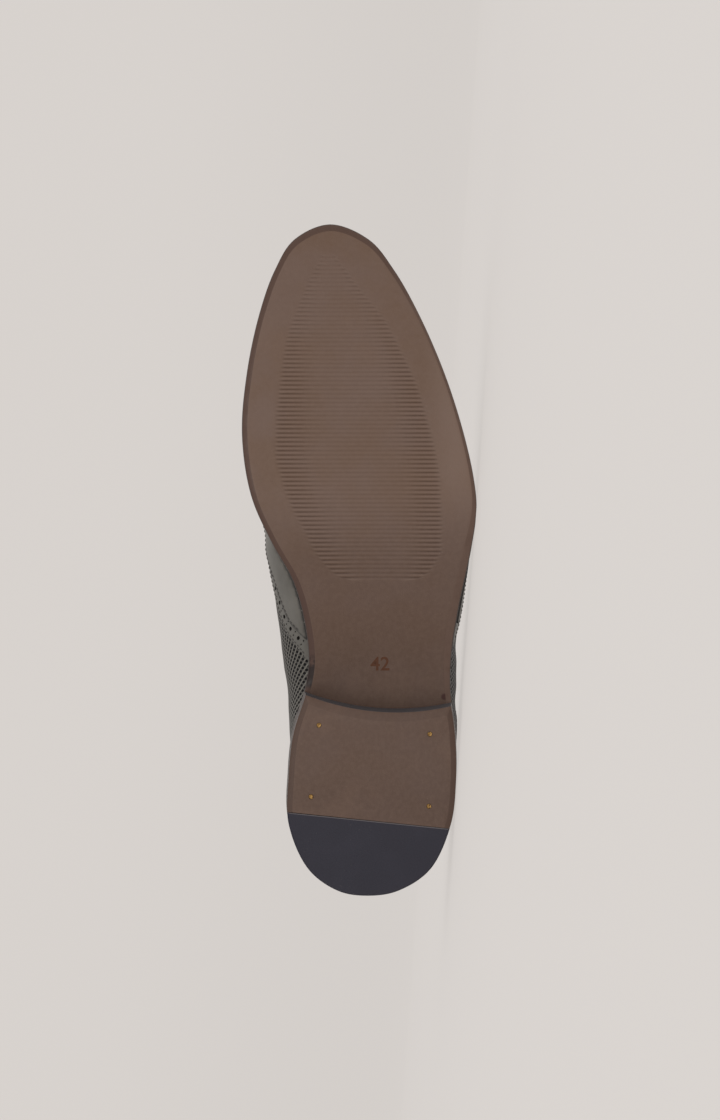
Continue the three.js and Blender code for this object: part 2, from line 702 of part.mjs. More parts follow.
// Outline of a heel piece at one height: from its front line round the heel to its back line.
// A line crosses from the inner to the outer edge, and a hollow curves it towards the heel.
function heelOutline(inset, front, back, z) {
  const edge = (side, from, to, steps) => spread(kAt(side, from), to === null ? 3 : kAt(side, to), steps)
    .map((k) => section(side, k))
    .map((sec) => place(sec, sec.reach - inset, z));
  const steps = HEEL_SIDE_STEPS + (back ? 0 : HEEL_STEPS);
  const outer = edge(OUTER, front.outer, back ? back.outer : null, steps);
  const inner = edge(INNER, front.inner, back ? back.inner : null, steps).reverse();
  const start = inner[inner.length - 1];
  const end = outer[0];
  const across = spread(0, 1, BREAST_STEPS).slice(1, -1).map((t) => {
    const hollow = (front.hollow ?? 0) * 4 * t * (1 - t);
    return new THREE.Vector3(lerp(start.x, end.x, t) - hollow, lerp(start.y, end.y, t), z);
  });
  return [...outer, ...(back ? inner : inner.slice(1)), ...across];
}

const shifted = (line, by) => ({ ...line, inner: line.inner + by, outer: line.outer + by });
const BREAST = { inner: BREAST_INNER, outer: BREAST_OUTER, hollow: BREAST_HOLLOW };
const RUBBER_FRONT = { inner: RUBBER_INNER, outer: RUBBER_OUTER };
const breastMiddle = (BREAST_INNER + BREAST_OUTER) / 2;

function heelStack() {
  const bottom = TOP_PIECE_THICKNESS + CLEARANCE;
  const seat = heelOutline(0, shifted(BREAST, BREAST_SLOPE), null, 0);
  seat.forEach((p) => {
    p.z = HEEL_HEIGHT - CLEARANCE + SEAT_RISE * (breastMiddle - p.x) / breastMiddle;
  });
  return stack([heelOutline(HEEL_TAPER, BREAST, null, bottom), seat]);
}

function cutBy(geometry, cutters) {
  let solid = solidOf(geometry);
  cutters.forEach((cutter) => { solid = solid.subtract(solidOf(cutter)); });
  const { vertProperties, triVerts, numProp } = solid.getMesh();
  const cut = new THREE.BufferGeometry();
  const positions = [];
  for (let i = 0; i < vertProperties.length; i += numProp) {
    positions.push(...vertProperties.slice(i, i + 3));
  }
  cut.setAttribute('position', new THREE.Float32BufferAttribute(positions, 3));
  cut.setIndex([...triVerts]);
  return cut;
}

function solidOf(geometry) {
  const bare = geometry.clone();
  bare.deleteAttribute('normal');
  bare.deleteAttribute('uv');
  const merged = mergeVertices(bare, 1e-5);
  const vertProperties = new Float32Array(merged.attributes.position.array);
  const triVerts = new Uint32Array(merged.getIndex().array);
  return new wasm.Manifold(new wasm.Mesh({ numProp: 3, vertProperties, triVerts }));
}

function topPiece() {
  const back = shifted(RUBBER_FRONT, CLEARANCE);
  const sloped = shifted(BREAST, -TOP_PIECE_BEVEL_OUTER);
  const face = heelOutline(HEEL_TAPER + TOP_PIECE_BEVEL_INNER, sloped, back, 0);
  const rim = heelOutline(HEEL_TAPER, BREAST, back, TOP_PIECE_BEVEL_DEPTH);
  const top = heelOutline(HEEL_TAPER, BREAST, back, TOP_PIECE_THICKNESS);
  const holes = NAILS.map((nail) => nailShape(nail, NAIL_RADIUS + CLEARANCE, 2 * TOP_PIECE_THICKNESS));
  return cutBy(stack([face, rim, top]), holes);
}

function topRubber() {
  const face = heelOutline(HEEL_TAPER + RUBBER_BEVEL, RUBBER_FRONT, null, 0);
  const rim = heelOutline(HEEL_TAPER, RUBBER_FRONT, null, TOP_PIECE_BEVEL_DEPTH);
  const top = heelOutline(HEEL_TAPER, RUBBER_FRONT, null, TOP_PIECE_THICKNESS);
  return stack([face, rim, top]);
}

function nailShape(nail, radius, length) {
  const shape = new THREE.CylinderGeometry(radius, radius, length, NAIL_SIDES);
  shape.rotateX(Math.PI / 2);
  return shape.translate(nail.x * SOLE_LENGTH, nail.y * BALL_WIDTH, TOP_PIECE_THICKNESS / 2);
}

// A column of nodes up one section.
const column = (side, k, from, to, rows) => {
  const sec = section(side, k);
  return spread(from(sec), to(sec), rows).map((share) => ({ sec, share }));
};

function upper() {
  const top = (sec) => upperTop(sec);
  const columns = [
    ...SHARED.map((k) => column(OUTER, k, () => 0, top, UPPER_ROWS)),
    ...SHARED.slice(0, -1).reverse().map((k) => column(INNER, k, () => 0, top, UPPER_ROWS)),
  ];
  return sheet([columns], -WALL, 0);
}

const LAID = [CURVED_CLEARANCE, CURVED_CLEARANCE + OVERLAY];

// The toe cap with its wings: two sides, the front, and the peak on the ridge.
function wingCap() {
  const dip = WING_INNER[WING_INNER.length - 1];
  const dipX = dip.at * SOLE_LENGTH;
  const dipK = kAt(OUTER, dipX);
  const split = () => dip.up;
  const patches = [];
  [[OUTER, WING_OUTER], [INNER, WING_INNER]].forEach(([side, edge]) => {
    const tail = kAt(side, edge[0].at * SOLE_LENGTH);
    const rise = (sec) => along(edge, sec.x / SOLE_LENGTH, 'up');
    const low = sharedBetween(0, tail).filter((k) => k < dipK - 0.01);
    const sides = sharedBetween(dipK, tail);
    const ks = [...low, ...sides];
    const height = (sec) => (sec.k < dipK + TINY ? split() : rise(sec));
    patches.push(ks.map((k) => column(side, k, () => 0, height, WING_ROWS)));
    patches.push([...low, dipK].map((k) => column(side, k, split, () => 1, PEAK_ROWS)));
    const peak = spread(dip.up, 1, PEAK_ROWS).map((share) => {
      const tip = kAt(side, along(WING_PEAK, share, 'along', 'at') * SOLE_LENGTH);
      return spread(dipK, tip, 2).map((k) => ({ sec: section(side, k), share }));
    });
    patches.push(peak);
  });
  return sheet(patches, ...LAID);
}

function heelCounter() {
  const half = (side, edge) => {
    const front = kAt(side, edge[edge.length - 1].at * SOLE_LENGTH);
    const rise = (sec) => along(edge, sec.x / SOLE_LENGTH, 'up');
    return sharedBetween(front, 3).map((k) => column(side, k, () => 0, rise, COUNTER_ROWS));
  };
  const inner = half(INNER, COUNTER_INNER).slice(0, -1).reverse();
  return sheet([[...half(OUTER, COUNTER_OUTER), ...inner]], ...LAID);
}

function facing(side) {
  const ks = sharedBetween(kAt(side, THROAT_FRONT), kAt(side, THROAT_BACK));
  const columns = ks.slice(1).map((k) => {
    const sec = section(side, k);
    const top = upperTop(sec);
    const width = FACING_WIDTH / profile(sec).length;
    return spread(top - width, top, FACING_ROWS).map((share) => ({ sec, share }));
  });
  return sheet([columns], ...LAID);
}

function backStrap() {
  const foot = (sec) => along(COUNTER_OUTER, 0, 'up') + 3 * CURVED_CLEARANCE / profile(sec).length;
  const beside = SHARED[SHARED.length - 2];
  const places = [[OUTER, beside], [OUTER, 3], [INNER, beside]];
  return sheet([places.map(([side, k]) => column(side, k, foot, upperTop, STRAP_ROWS))], ...LAID);
}

function tongue() {
  const ks = sharedBetween(kAt(OUTER, TONGUE_FRONT), kAt(OUTER, TONGUE_TOP));
  const half = (side) => ks.map((k) => {
    const sec = section(side, k);
    const from = 1 - TONGUE_HALF_WIDTH / profile(sec).length;
    return spread(from, 1, TONGUE_ROWS).map((share) => ({ sec, share }));
  });
  const top = -WALL - TONGUE_CLEARANCE;
  return sheet([half(OUTER), half(INNER)], top - TONGUE_THICKNESS, top);
}

function laceBar(number) {
  const share = (number + 0.5) / LACE_BARS;
  const k = lerp(kAt(OUTER, THROAT_FRONT), kAt(OUTER, THROAT_BACK), share);
  const lift = LAID[1] + CURVED_CLEARANCE + LACE_DIAMETER / 2;
  const half = (side) => {
    const sec = section(side, k);
    const end = upperTop(sec) - EYELET_INSET / profile(sec).length;
    return spread(end, 1, LACE_STEPS / 2).map((at) => onUpper(sec, at, lift));
  };
  const points = [...half(OUTER), ...half(INNER).reverse().slice(1)];
  const path = new THREE.CatmullRomCurve3(points);
  const round = new THREE.Shape().absarc(0, 0, LACE_DIAMETER / 2, 0, 2 * Math.PI);
  const outline = new THREE.Shape(round.getPoints(LACE_SIDES / 2).slice(0, -1));
  return new THREE.ExtrudeGeometry(outline, { steps: LACE_STEPS, extrudePath: path, curveSegments: 1 });
}

// Middle of the solids' volume.
function massMiddle(geometries) {
  const sum = new THREE.Vector3();
  let volume = 0;
  geometries.forEach((geometry) => {
    eachTriangle(geometry, (a, b, c) => {
      const part = a.dot(b.clone().cross(c)) / 6;
      volume += part;
      sum.addScaledVector(a.clone().add(b).add(c), part / 4);
    });
  });
  return sum.divideScalar(volume);
}

// Normal of the hull's face that the shoe rests on when its outer side is down.
function restingFace(geometries, balance) {
  const points = [];
  geometries.forEach((geometry) => eachTriangle(geometry, (a, b, c) => points.push(a, b, c)));
  const hull = new ConvexHull().setFromPoints(points);
  const under = hull.faces.filter((face) => {
    const foot = balance.clone().addScaledVector(face.normal, face.constant - balance.dot(face.normal));
    const corners = [face.getEdge(0), face.getEdge(1), face.getEdge(2)].map((edge) => edge.head().point);
    return face.normal.y > 0 && corners.every((corner, n) => {
      const next = corners[(n + 1) % 3];
      return next.clone().sub(corner).cross(foot.clone().sub(corner)).dot(face.normal) >= 0;
    });
  });
  return under[0].normal.clone();
}

const standing = new THREE.Group();
function add(name, geometry, color, roughness, metalness = 0) {
  const material = new THREE.MeshStandardMaterial({ color, roughness, metalness });
  const mesh = new THREE.Mesh(geometry, material);
  mesh.name = name;
  standing.add(mesh);
  return mesh;
}

add('outsole', outsole(), COLOURS.sole, 0.6);
add('upper', upper(), COLOURS.smooth, 0.5);
add('insole', insole(), COLOURS.insole, 0.8);
add('tongue', tongue(), COLOURS.smooth, 0.6);
add('welt', welt(), COLOURS.bevel, 0.6);
add('heel_stack', heelStack(), COLOURS.lining, 0.6);
add('top_piece', topPiece(), COLOURS.bevel, 0.6);
add('top_piece_rubber', topRubber(), COLOURS.rubber, 0.8);
NAILS.forEach((nail) => {
  add(nail.name, nailShape(nail, NAIL_RADIUS, TOP_PIECE_THICKNESS - CLEARANCE), COLOURS.brass, 0.35, 1);
});
add('wing_cap', wingCap(), COLOURS.smooth, 0.5);
add('heel_counter', heelCounter(), COLOURS.smooth, 0.5);
add('facing_inner', facing(INNER), COLOURS.smooth, 0.5);
add('facing_outer', facing(OUTER), COLOURS.smooth, 0.5);
add('back_strap', backStrap(), COLOURS.smooth, 0.5);
for (let i = 0; i < LACE_BARS; i += 1) add('lace_bar_' + (i + 1), laceBar(i), COLOURS.lace, 0.8);

// The shoe lies on its outer side: on the face of its hull that its middle of mass stands over.
const solids = standing.children.map((mesh) => mesh.geometry);
const middle = massMiddle(solids);
const down = restingFace(solids, middle);
const forward = new THREE.Vector3(1, 0, 0).projectOnPlane(down).normalize();
const up = down.clone().negate();
const laid = new THREE.Matrix4().makeBasis(forward, up.clone().cross(forward), up).transpose();
standing.setRotationFromMatrix(laid);

// The origin is under the middle of the lying shoe, on the floor.
const extent = new THREE.Box3().setFromObject(standing, true);
const centre = extent.getCenter(new THREE.Vector3());
standing.position.set(-centre.x, -centre.y, -extent.min.z);

const group = new THREE.Group();
group.add(standing);

export default group;
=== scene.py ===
"""Dresses a left brogue shoe, EU size 42, that lies on its outer side.

The shoe is modelled standing, in millimetres: x from the heel back to the toe tip, y towards the
outer side of the foot, z up from the ground. Lying turns those places into the frame's metres.
"""

from __future__ import annotations

import json
import logging
import math
from collections.abc import Callable, Sequence
from dataclasses import dataclass, field
from enum import Enum

import bmesh
import bpy
import numpy as np
from mathutils import Matrix, Vector, kdtree
from mathutils.geometry import delaunay_2d_cdt


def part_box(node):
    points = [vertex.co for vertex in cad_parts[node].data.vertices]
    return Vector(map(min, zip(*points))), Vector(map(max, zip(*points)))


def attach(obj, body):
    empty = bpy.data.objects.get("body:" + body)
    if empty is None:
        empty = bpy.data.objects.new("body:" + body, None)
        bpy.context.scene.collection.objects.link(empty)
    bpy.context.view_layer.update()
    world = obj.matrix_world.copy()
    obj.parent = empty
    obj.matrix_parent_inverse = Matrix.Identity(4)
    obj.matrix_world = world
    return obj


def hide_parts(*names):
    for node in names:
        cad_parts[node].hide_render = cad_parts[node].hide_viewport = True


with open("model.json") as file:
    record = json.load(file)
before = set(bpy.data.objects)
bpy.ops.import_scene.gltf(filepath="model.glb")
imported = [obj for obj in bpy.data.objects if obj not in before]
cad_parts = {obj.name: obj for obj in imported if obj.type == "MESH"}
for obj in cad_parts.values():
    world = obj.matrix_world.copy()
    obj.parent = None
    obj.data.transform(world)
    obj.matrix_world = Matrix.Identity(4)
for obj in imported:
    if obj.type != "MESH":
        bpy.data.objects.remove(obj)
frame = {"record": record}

log = logging.getLogger("shoe")

MM = 0.001
BODY = "root"
INNER = -1
OUTER = 1
SIDES = (OUTER, INNER)
CORNER_ANGLE = math.radians(38)
SHARED_POINT = 0.004
SEAM_STEP = 0.7
THREAD_LIFT = 0.05


def mix(a: np.ndarray | float, b: np.ndarray | float, t: np.ndarray | float) -> np.ndarray:
    """Goes from a to b by the share t."""
    return a + (b - a) * t


def ease(t: np.ndarray | float) -> np.ndarray:
    """Turns 0 to 1 into a soft step, held at both ends."""
    t = np.clip(t, 0.0, 1.0)
    return t * t * (3 - 2 * t)


def hermite(t: np.ndarray, start: float, start_slope: float, end: float, end_slope: float) -> np.ndarray:
    """A cubic from start to end with the given slopes.

    Args:
        t: The way from start to end, 0 to 1.
        start: The first value.
        start_slope: The slope there.
        end: The last value.
        end_slope: The slope there.

    Returns:
        The value at each t.
    """
    t2 = t * t
    t3 = t2 * t
    rise = (2 * t3 - 3 * t2 + 1) * start + (t3 - 2 * t2 + t) * start_slope
    return rise + (3 * t2 - 2 * t3) * end + (t3 - t2) * end_slope


def cubic(a: np.ndarray, b: np.ndarray, c: np.ndarray, d: np.ndarray, t: np.ndarray) -> np.ndarray:
    """A Bezier cubic through its four controls."""
    s = 1 - t
    return s * s * s * a + 3 * s * s * t * b + 3 * s * t * t * c + t * t * t * d


def unit(v: np.ndarray) -> np.ndarray:
    """Each vector at length one."""
    return v / np.maximum(np.linalg.norm(v, axis=-1, keepdims=True), 1e-9)


def run_of(line: np.ndarray) -> np.ndarray:
    """How far along a line each of its places is."""
    return np.concatenate([[0], np.cumsum(np.linalg.norm(np.diff(line, axis=0), axis=1))])


def read_line(line: np.ndarray, along: np.ndarray, where: np.ndarray) -> np.ndarray:
    """Places read on a line at distances from its start.

    Args:
        line: The line, one place a row.
        along: How far along it each of those places is.
        where: The distances to read.

    Returns:
        One place a row.
    """
    return np.column_stack([np.interp(where, along, line[:, n]) for n in range(line.shape[1])])


class Table:
    """Listed rows, read on a smooth curve that never overshoots a row."""

    def __init__(self, columns: str, rows: Sequence[Sequence[float]]) -> None:
        """Keeps the rows and works out each column's slopes.

        Args:
            columns: The columns' names, the place first.
            rows: One row of numbers for each place.
        """
        numbers = np.array(rows, float)
        self.place = numbers[:, 0]
        self.columns = dict(zip(columns.split()[1:], numbers.T[1:]))
        self.slopes = {name: self.slope(values) for name, values in self.columns.items()}

    def slope(self, values: np.ndarray) -> np.ndarray:
        """The curve's slope at each row of a column.

        Args:
            values: The column's numbers.

        Returns:
            One slope for each row.
        """
        step = np.diff(self.place)
        rise = np.diff(values) / step
        slope = np.concatenate([rise[:1], np.zeros(len(values) - 2), rise[-1:]])
        for i in range(1, len(values) - 1):
            before, after = rise[i - 1], rise[i]
            if before * after > 0:
                weight_before = 2 * step[i] + step[i - 1]
                weight_after = step[i] + 2 * step[i - 1]
                slope[i] = (weight_before + weight_after) / (weight_before / before + weight_after / after)
        return slope

    def read(self, column: str, place: np.ndarray | float) -> np.ndarray:
        """Reads a column.

        Args:
            column: The column's name.
            place: Where to read it, held to the table's ends.

        Returns:
            The curve's value at each place.
        """
        x = np.clip(np.asarray(place, float), self.place[0], self.place[-1])
        i = np.clip(np.searchsorted(self.place, x, side="right") - 1, 0, len(self.place) - 2)
        step = self.place[i + 1] - self.place[i]
        values, slopes = self.columns[column], self.slopes[column]
        t = (x - self.place[i]) / step
        return hermite(t, values[i], slopes[i] * step, values[i + 1], slopes[i + 1] * step)


@dataclass(frozen=True)
class Sizes:
    """The shoe's driving sizes, in millimetres."""

    length: float = 304.0
    ball_width: float = 104.8
    sole_thickness: float = 4.2
    bevel_width: float = 2.7
    bevel_depth: float = 1.1
    toe_spring: float = 14.0
    tread_back: float = 184.0
    tread_front: float = 210.0
    welt_thickness: float = 2.0
    welt_inset: float = 0.4
    welt_reach: float = 3.0
    heel_height: float = 21.5
    seat_rise: float = 5.0
    breast_inner: float = 91.0
    breast_outer: float = 86.0
    breast_hollow: float = 5.0
    breast_slope: float = 0.3
    heel_taper: float = 1.2
    top_piece: float = 6.0
    top_bevel_inner: float = 2.5
    top_bevel_outer: float = 4.0
    top_bevel_depth: float = 0.8
    rubber_bevel: float = 0.8
    rubber_inner: float = 38.5
    rubber_outer: float = 31.0
    nail_radius: float = 1.05
    wall: float = 2.2
    welt_margin: float = 3.7
    feather_tuck: float = 1.2
    inner_overhang: float = 13.6
    outer_overhang: float = 4.2
    belly_height: float = 28.0
    instep_height: float = 108.5
    back_top: float = 92.0
    ankle_top: float = 80.0
    throat_top: float = 106.0
    inner_rise: float = 2.5
    outer_flare: float = 3.9
    inner_flare: float = -1.5
    throat_front: float = 191.0
    throat_back: float = 118.0
    throat_gap_front: float = 2.4
    throat_gap_back: float = 6.0
    throat_round: float = 3.0
    facing_width: float = 19.0
    insole: float = 3.0
    tongue: float = 2.6
    tongue_half: float = 24.0
    tongue_front: float = 197.0
    tongue_top: float = 96.0
    lace: float = 3.2
    lace_bars: int = 5
    eyelet_inset: float = 9.0
    clearance: float = 0.3
    curved_clearance: float = 0.35
    tongue_clearance: float = 1.1


# The sole's edge from the toe tip round the outer side: shares of the length and of the ball's width.
SOLE_EDGE = (
    (1.0, -0.13), (0.976, 0.039), (0.929, 0.147), (0.861, 0.254), (0.771, 0.364), (0.682, 0.445),
    (0.616, 0.487), (0.573, 0.498), (0.512, 0.476), (0.437, 0.433), (0.362, 0.4), (0.301, 0.396),
    (0.242, 0.417), (0.176, 0.422), (0.109, 0.4), (0.04, 0.308), (0.007, 0.163), (0.0, 0.031),
    (0.007, -0.095), (0.04, -0.228), (0.109, -0.316), (0.176, -0.317), (0.242, -0.296),
    (0.301, -0.243), (0.346, -0.223), (0.407, -0.241), (0.467, -0.289), (0.526, -0.382),
    (0.594, -0.466), (0.682, -0.504), (0.771, -0.485), (0.861, -0.433), (0.929, -0.367),
    (0.976, -0.285),
)
# In the next tables "at" is a share of the shoe's length and "up" a share of the way up a section.
# Width of the bevel, as a share of bevel_width.
BEVELS = Table("at inner outer", (
    (0.0, 1, 1), (0.3, 1.15, 1.1), (0.4, 1.2, 1.6), (0.5, 1.15, 1.5), (0.6, 1.05, 0.75),
    (0.8, 1.05, 0.6), (0.93, 1.15, 0.9), (1.0, 1.45, 1.45),
))
# How each section of the upper hangs over the sole, is tucked under and is rounded.
SECTIONS = Table("at welt inner outer tuck belly wall crown flare", (
    (0.0, 0.4, 0, 0, 2.4, 0.88, 0.62, 0.5, 0.1),
    (0.08, 0.32, 0, 0, 1.9, 0.88, 0.62, 0.5, 0.3),
    (0.15, 0.22, 0, 0, 1.7, 0.9, 0.62, 0.5, 0.75),
    (0.2, 0.08, 0.03, 0.2, 1.7, 0.92, 0.61, 0.5, 0.95),
    (0.24, 0, 0.17, 0.46, 1.6, 0.94, 0.59, 0.5, 1),
    (0.276, 0, 0.45, 0.65, 1.1, 0.97, 0.56, 0.48, 0.75),
    (0.306, 0, 0.7, 1, 0.7, 0.99, 0.53, 0.46, 0.4),
    (0.336, 0, 0.925, 1, 0.4, 1, 0.5, 0.42, 0.12),
    (0.366, 0, 1, 0.73, 0.4, 1, 0.47, 0.39, 0),
    (0.41, 0, 0.975, 0.6, 0.4, 0.98, 0.44, 0.36, 0),
    (0.44, 0, 0.9, 0.25, 0.45, 0.94, 0.42, 0.34, 0),
    (0.47, 0.05, 0.75, 0.05, 0.5, 0.88, 0.41, 0.33, 0),
    (0.5, 0.2, 0.51, 0, 0.6, 0.81, 0.41, 0.33, 0),
    (0.545, 0.62, 0.125, 0, 0.8, 0.7, 0.43, 0.35, 0),
    (0.6, 0.9, 0, 0, 1, 0.59, 0.46, 0.38, 0),
    (0.7, 0.97, 0, 0, 1, 0.46, 0.53, 0.46, 0),
    (0.8, 1, 0, 0, 1, 0.38, 0.58, 0.54, 0),
    (0.9, 1, 0, 0, 0.9, 0.31, 0.6, 0.6, 0),
    (1.0, 1, 0, 0, 0.8, 0.26, 0.6, 0.62, 0),
))
# The line over the instep, in shares of instep_height.
RIDGE = Table("at height", (
    (0.12, 1.4), (0.2, 1.37), (0.27, 1.27), (0.335, 1.12), (0.39, 1.0), (0.45, 0.89), (0.517, 0.775),
    (0.583, 0.665), (0.65, 0.568), (0.717, 0.483), (0.783, 0.421), (0.85, 0.38),
))
# How far the collar has risen from the ankle to the back and to the throat.
COLLAR = Table("at back front", (
    (0.0, 1, 0), (0.04, 0.9, 0), (0.083, 0.6, 0), (0.133, 0.24, 0), (0.183, 0.05, 0), (0.23, 0, 0),
    (0.27, 0, 0.04), (0.307, 0, 0.17), (0.347, 0, 0.46), (0.373, 0, 0.76), (0.39, 0, 1),
))
# The wing's top edge, from its tail at the waist to the peak.
WING_EDGE = {
    INNER: Table("at up", (
        (0.343, 0), (0.363, 0.06), (0.394, 0.15), (0.43, 0.195), (0.467, 0.225), (0.513, 0.26), (0.6, 0.34),
        (0.7, 0.41), (0.76, 0.49), (0.8, 0.6), (0.823, 0.7),
    )),
    OUTER: Table("at up", (
        (0.365, 0), (0.4, 0.09), (0.44, 0.18), (0.49, 0.27), (0.56, 0.345), (0.65, 0.395),
        (0.73, 0.45), (0.79, 0.56), (0.823, 0.7),
    )),
}
WING_PEAK = Table("up at", ((0.6, 0.84), (0.7, 0.823), (0.8, 0.808), (0.92, 0.79), (1.0, 0.777)))
# The heel counter's top edge.
COUNTER_EDGE = {
    INNER: Table("at up", ((0.0, 0.29), (0.05, 0.26), (0.11, 0.18), (0.17, 0.08), (0.207, 0))),
    OUTER: Table("at up", ((0.0, 0.29), (0.05, 0.265), (0.11, 0.19), (0.18, 0.08), (0.22, 0))),
}
# The nails: shares of the length and of the ball's width.
NAILS = ((0.255, -0.175), (0.242, 0.298), (0.15, -0.209), (0.136, 0.294))

# Soft troughs and ridges where the shoe bends: x at the middle, how far x swings back towards the
# sides, reach along x, height (minus is a trough), and the share of a section where it starts.
CREASES = (
    (201.0, 9.0, 3.2, -1.0, 0.52),
    (206.5, 8.0, 2.6, 0.6, 0.55),
    (212.0, 10.0, 3.0, -0.85, 0.55),
    (222.0, 12.0, 3.4, -0.5, 0.6),
    (104.0, -16.0, 5.0, -0.7, 0.36),
)


class Last:
    """The surface that the shoe's leathers are laid on, worked out from the sizes."""

    SPAN_POINTS = 14
    TURN_STEPS = 100
    SIDE_STEPS = 260
    ROWS = 200
    LOW_STEPS = 24
    HIGH_STEPS = 96
    LOWEST_TOP = 0.2

    def __init__(self, sizes: Sizes) -> None:
        """Works out the sections, their profiles and the surface's normals.

        Args:
            sizes: The shoe's sizes.
        """
        self.sizes = sizes
        self.toe = np.array([0.85 * sizes.length, -0.083 * sizes.ball_width])
        self.heel = np.array([0.12 * sizes.length, 0.048 * sizes.ball_width])
        self.edge = self.edge_line()
        self.ks = np.concatenate([
            np.linspace(0, 1, self.TURN_STEPS, endpoint=False),
            np.linspace(1, 2, self.SIDE_STEPS, endpoint=False),
            np.linspace(2, 3, self.TURN_STEPS + 1),
        ])
        self.shares = np.linspace(0, 1, self.ROWS + 1)
        self.reaches = {side: np.array([self.measure(side, k) for k in self.ks]) for side in SIDES}
        self.xs = {side: self.spine(self.ks)[:, 0] + self.out(side, self.ks)[:, 0] * self.reaches[side]
                   for side in SIDES}
        self.lengths: dict[int, np.ndarray] = {}
        self.lines: dict[int, tuple[np.ndarray, np.ndarray]] = {}
        self.tops: dict[int, np.ndarray] = {}
        self.points: dict[int, np.ndarray] = {}
        for side in SIDES:
            self.trace(side)
        self.normals = self.normals_of(self.points)
        for side in SIDES:
            lift = self.creases(side)[..., None]
            self.points[side] = self.points[side] + self.normals[side] * lift
        self.normals = self.normals_of(self.points)
        for side in SIDES:
            self.tops[side] = self.top_edge(side)

    def edge_line(self) -> np.ndarray:
        """The sole's edge as a closed smooth line of points.

        Returns:
            Places of the plan, the first one again at the end.
        """
        corners = np.array(SOLE_EDGE) * [self.sizes.length, self.sizes.ball_width]
        count = len(corners)
        line = []
        for i in range(count):
            p = [corners[(i + n) % count] for n in (-1, 0, 1, 2)]
            gap = [math.sqrt(np.linalg.norm(p[n + 1] - p[n])) for n in range(3)]
            leave = (p[1] - p[0]) / gap[0] - (p[2] - p[0]) / (gap[0] + gap[1]) + (p[2] - p[1]) / gap[1]
            arrive = (p[2] - p[1]) / gap[1] - (p[3] - p[1]) / (gap[1] + gap[2]) + (p[3] - p[2]) / gap[2]
            for t in np.arange(self.SPAN_POINTS) / self.SPAN_POINTS:
                line.append(hermite(t, p[1], leave * gap[1], p[2], arrive * gap[1]))
        return np.array(line + line[:1])

    def spine(self, k: np.ndarray) -> np.ndarray:
        """Where each section stands on the spine."""
        t = np.clip(np.asarray(k, float) - 1, 0, 1)[..., None]
        return mix(self.toe, self.heel, t)

    def out(self, side: np.ndarray | int, k: np.ndarray) -> np.ndarray:
        """The way each section faces.

        Args:
            side: INNER or OUTER.
            k: The section: 0 to 1 round the toe, to 2 along the shoe, to 3 round the heel.

        Returns:
            A direction in the plan for each section.
        """
        k = np.asarray(k, float)
        angle = (np.minimum(k, 1) + np.maximum(0, k - 2)) * math.pi / 2
        return np.stack([np.cos(angle), side * np.sin(angle)], -1)

    def measure(self, side: int, k: float) -> float:
        """Distance from the spine to the sole's edge along one section.

        Args:
            side: INNER or OUTER.
            k: The section.

        Returns:
            The distance.
        """
        start = self.spine(k)
        way = self.out(side, k)
        a = self.edge[:-1] - start
        b = self.edge[1:] - start
        side_a = way[0] * a[:, 1] - way[1] * a[:, 0]
        side_b = way[0] * b[:, 1] - way[1] * b[:, 0]
        crossed = (side_a * side_b <= 0) & (side_a != side_b)
        t = (side_a[crossed] / (side_a - side_b)[crossed])[:, None]
        return float(np.max(mix(a[crossed], b[crossed], t) @ way))

    def reach(self, side: int, k: np.ndarray) -> np.ndarray:
        """Distance from the spine to the sole's edge."""
        return np.interp(k, self.ks, self.reaches[side])

    def x_at(self, side: int, k: np.ndarray) -> np.ndarray:
        """Where a section meets the sole's edge."""
        return np.interp(k, self.ks, self.xs[side])

    def k_at(self, side: int, x: np.ndarray | float) -> np.ndarray:
        """The section that meets the sole's edge at x."""
        return np.interp(x, self.xs[side][::-1], self.ks[::-1])

    def inside_edge(self, side: int, k: np.ndarray, inset: np.ndarray | float) -> np.ndarray:
        """Points of the sole's plan, an inset inside its edge.

        Args:
            side: INNER or OUTER.
            k: The sections.
            inset: How far inside the edge.

        Returns:
            One place of the plan for each section.
        """
        k = np.asarray(k, float)
        reach = np.maximum(self.reach(side, k) - inset, 0)
        return self.spine(k) + self.out(side, k) * reach[..., None]

    def underside(self, x: np.ndarray) -> np.ndarray:
        """Height of the outsole's underside: flat tread, toe spring, arch and heel seat.

        Args:
            x: Places along the shoe.

        Returns:
            The height at each place.
        """
        s = self.sizes
        x = np.asarray(x, float)
        breast = (s.breast_inner + s.breast_outer) / 2
        seat_slope = s.seat_rise / breast
        span = s.tread_back - breast
        arch = hermite(np.clip((s.tread_back - x) / span, 0, 1), 0, 0, s.heel_height, seat_slope * span)
        spring = s.toe_spring * (np.maximum(x - s.tread_front, 0) / (s.length - s.tread_front)) ** 2
        seat = s.heel_height + seat_slope * (breast - x)
        return np.where(x < breast, seat, arch + spring)

    def above(self, plan: np.ndarray, rise: np.ndarray | float) -> np.ndarray:
        """Places of the plan at a height over the outsole's underside."""
        return np.concatenate([plan, (self.underside(plan[..., 0]) + rise)[..., None]], -1)

    def strip(self, side: int, k: np.ndarray, profile: Sequence[tuple]) -> np.ndarray:
        """Rows of places round the sole's edge, one for each step of a profile.

        Args:
            side: INNER or OUTER.
            k: The sections.
            profile: Each step's inset from the edge and height over the underside.

        Returns:
            Sections by steps of standing places.
        """
        return np.stack([self.above(self.inside_edge(side, k, inset), rise) for inset, rise in profile], 1)

    def welt_top(self, x: np.ndarray) -> np.ndarray:
        """Height of the welt's upper face."""
        s = self.sizes
        return self.underside(x) + s.sole_thickness + s.clearance + s.welt_thickness

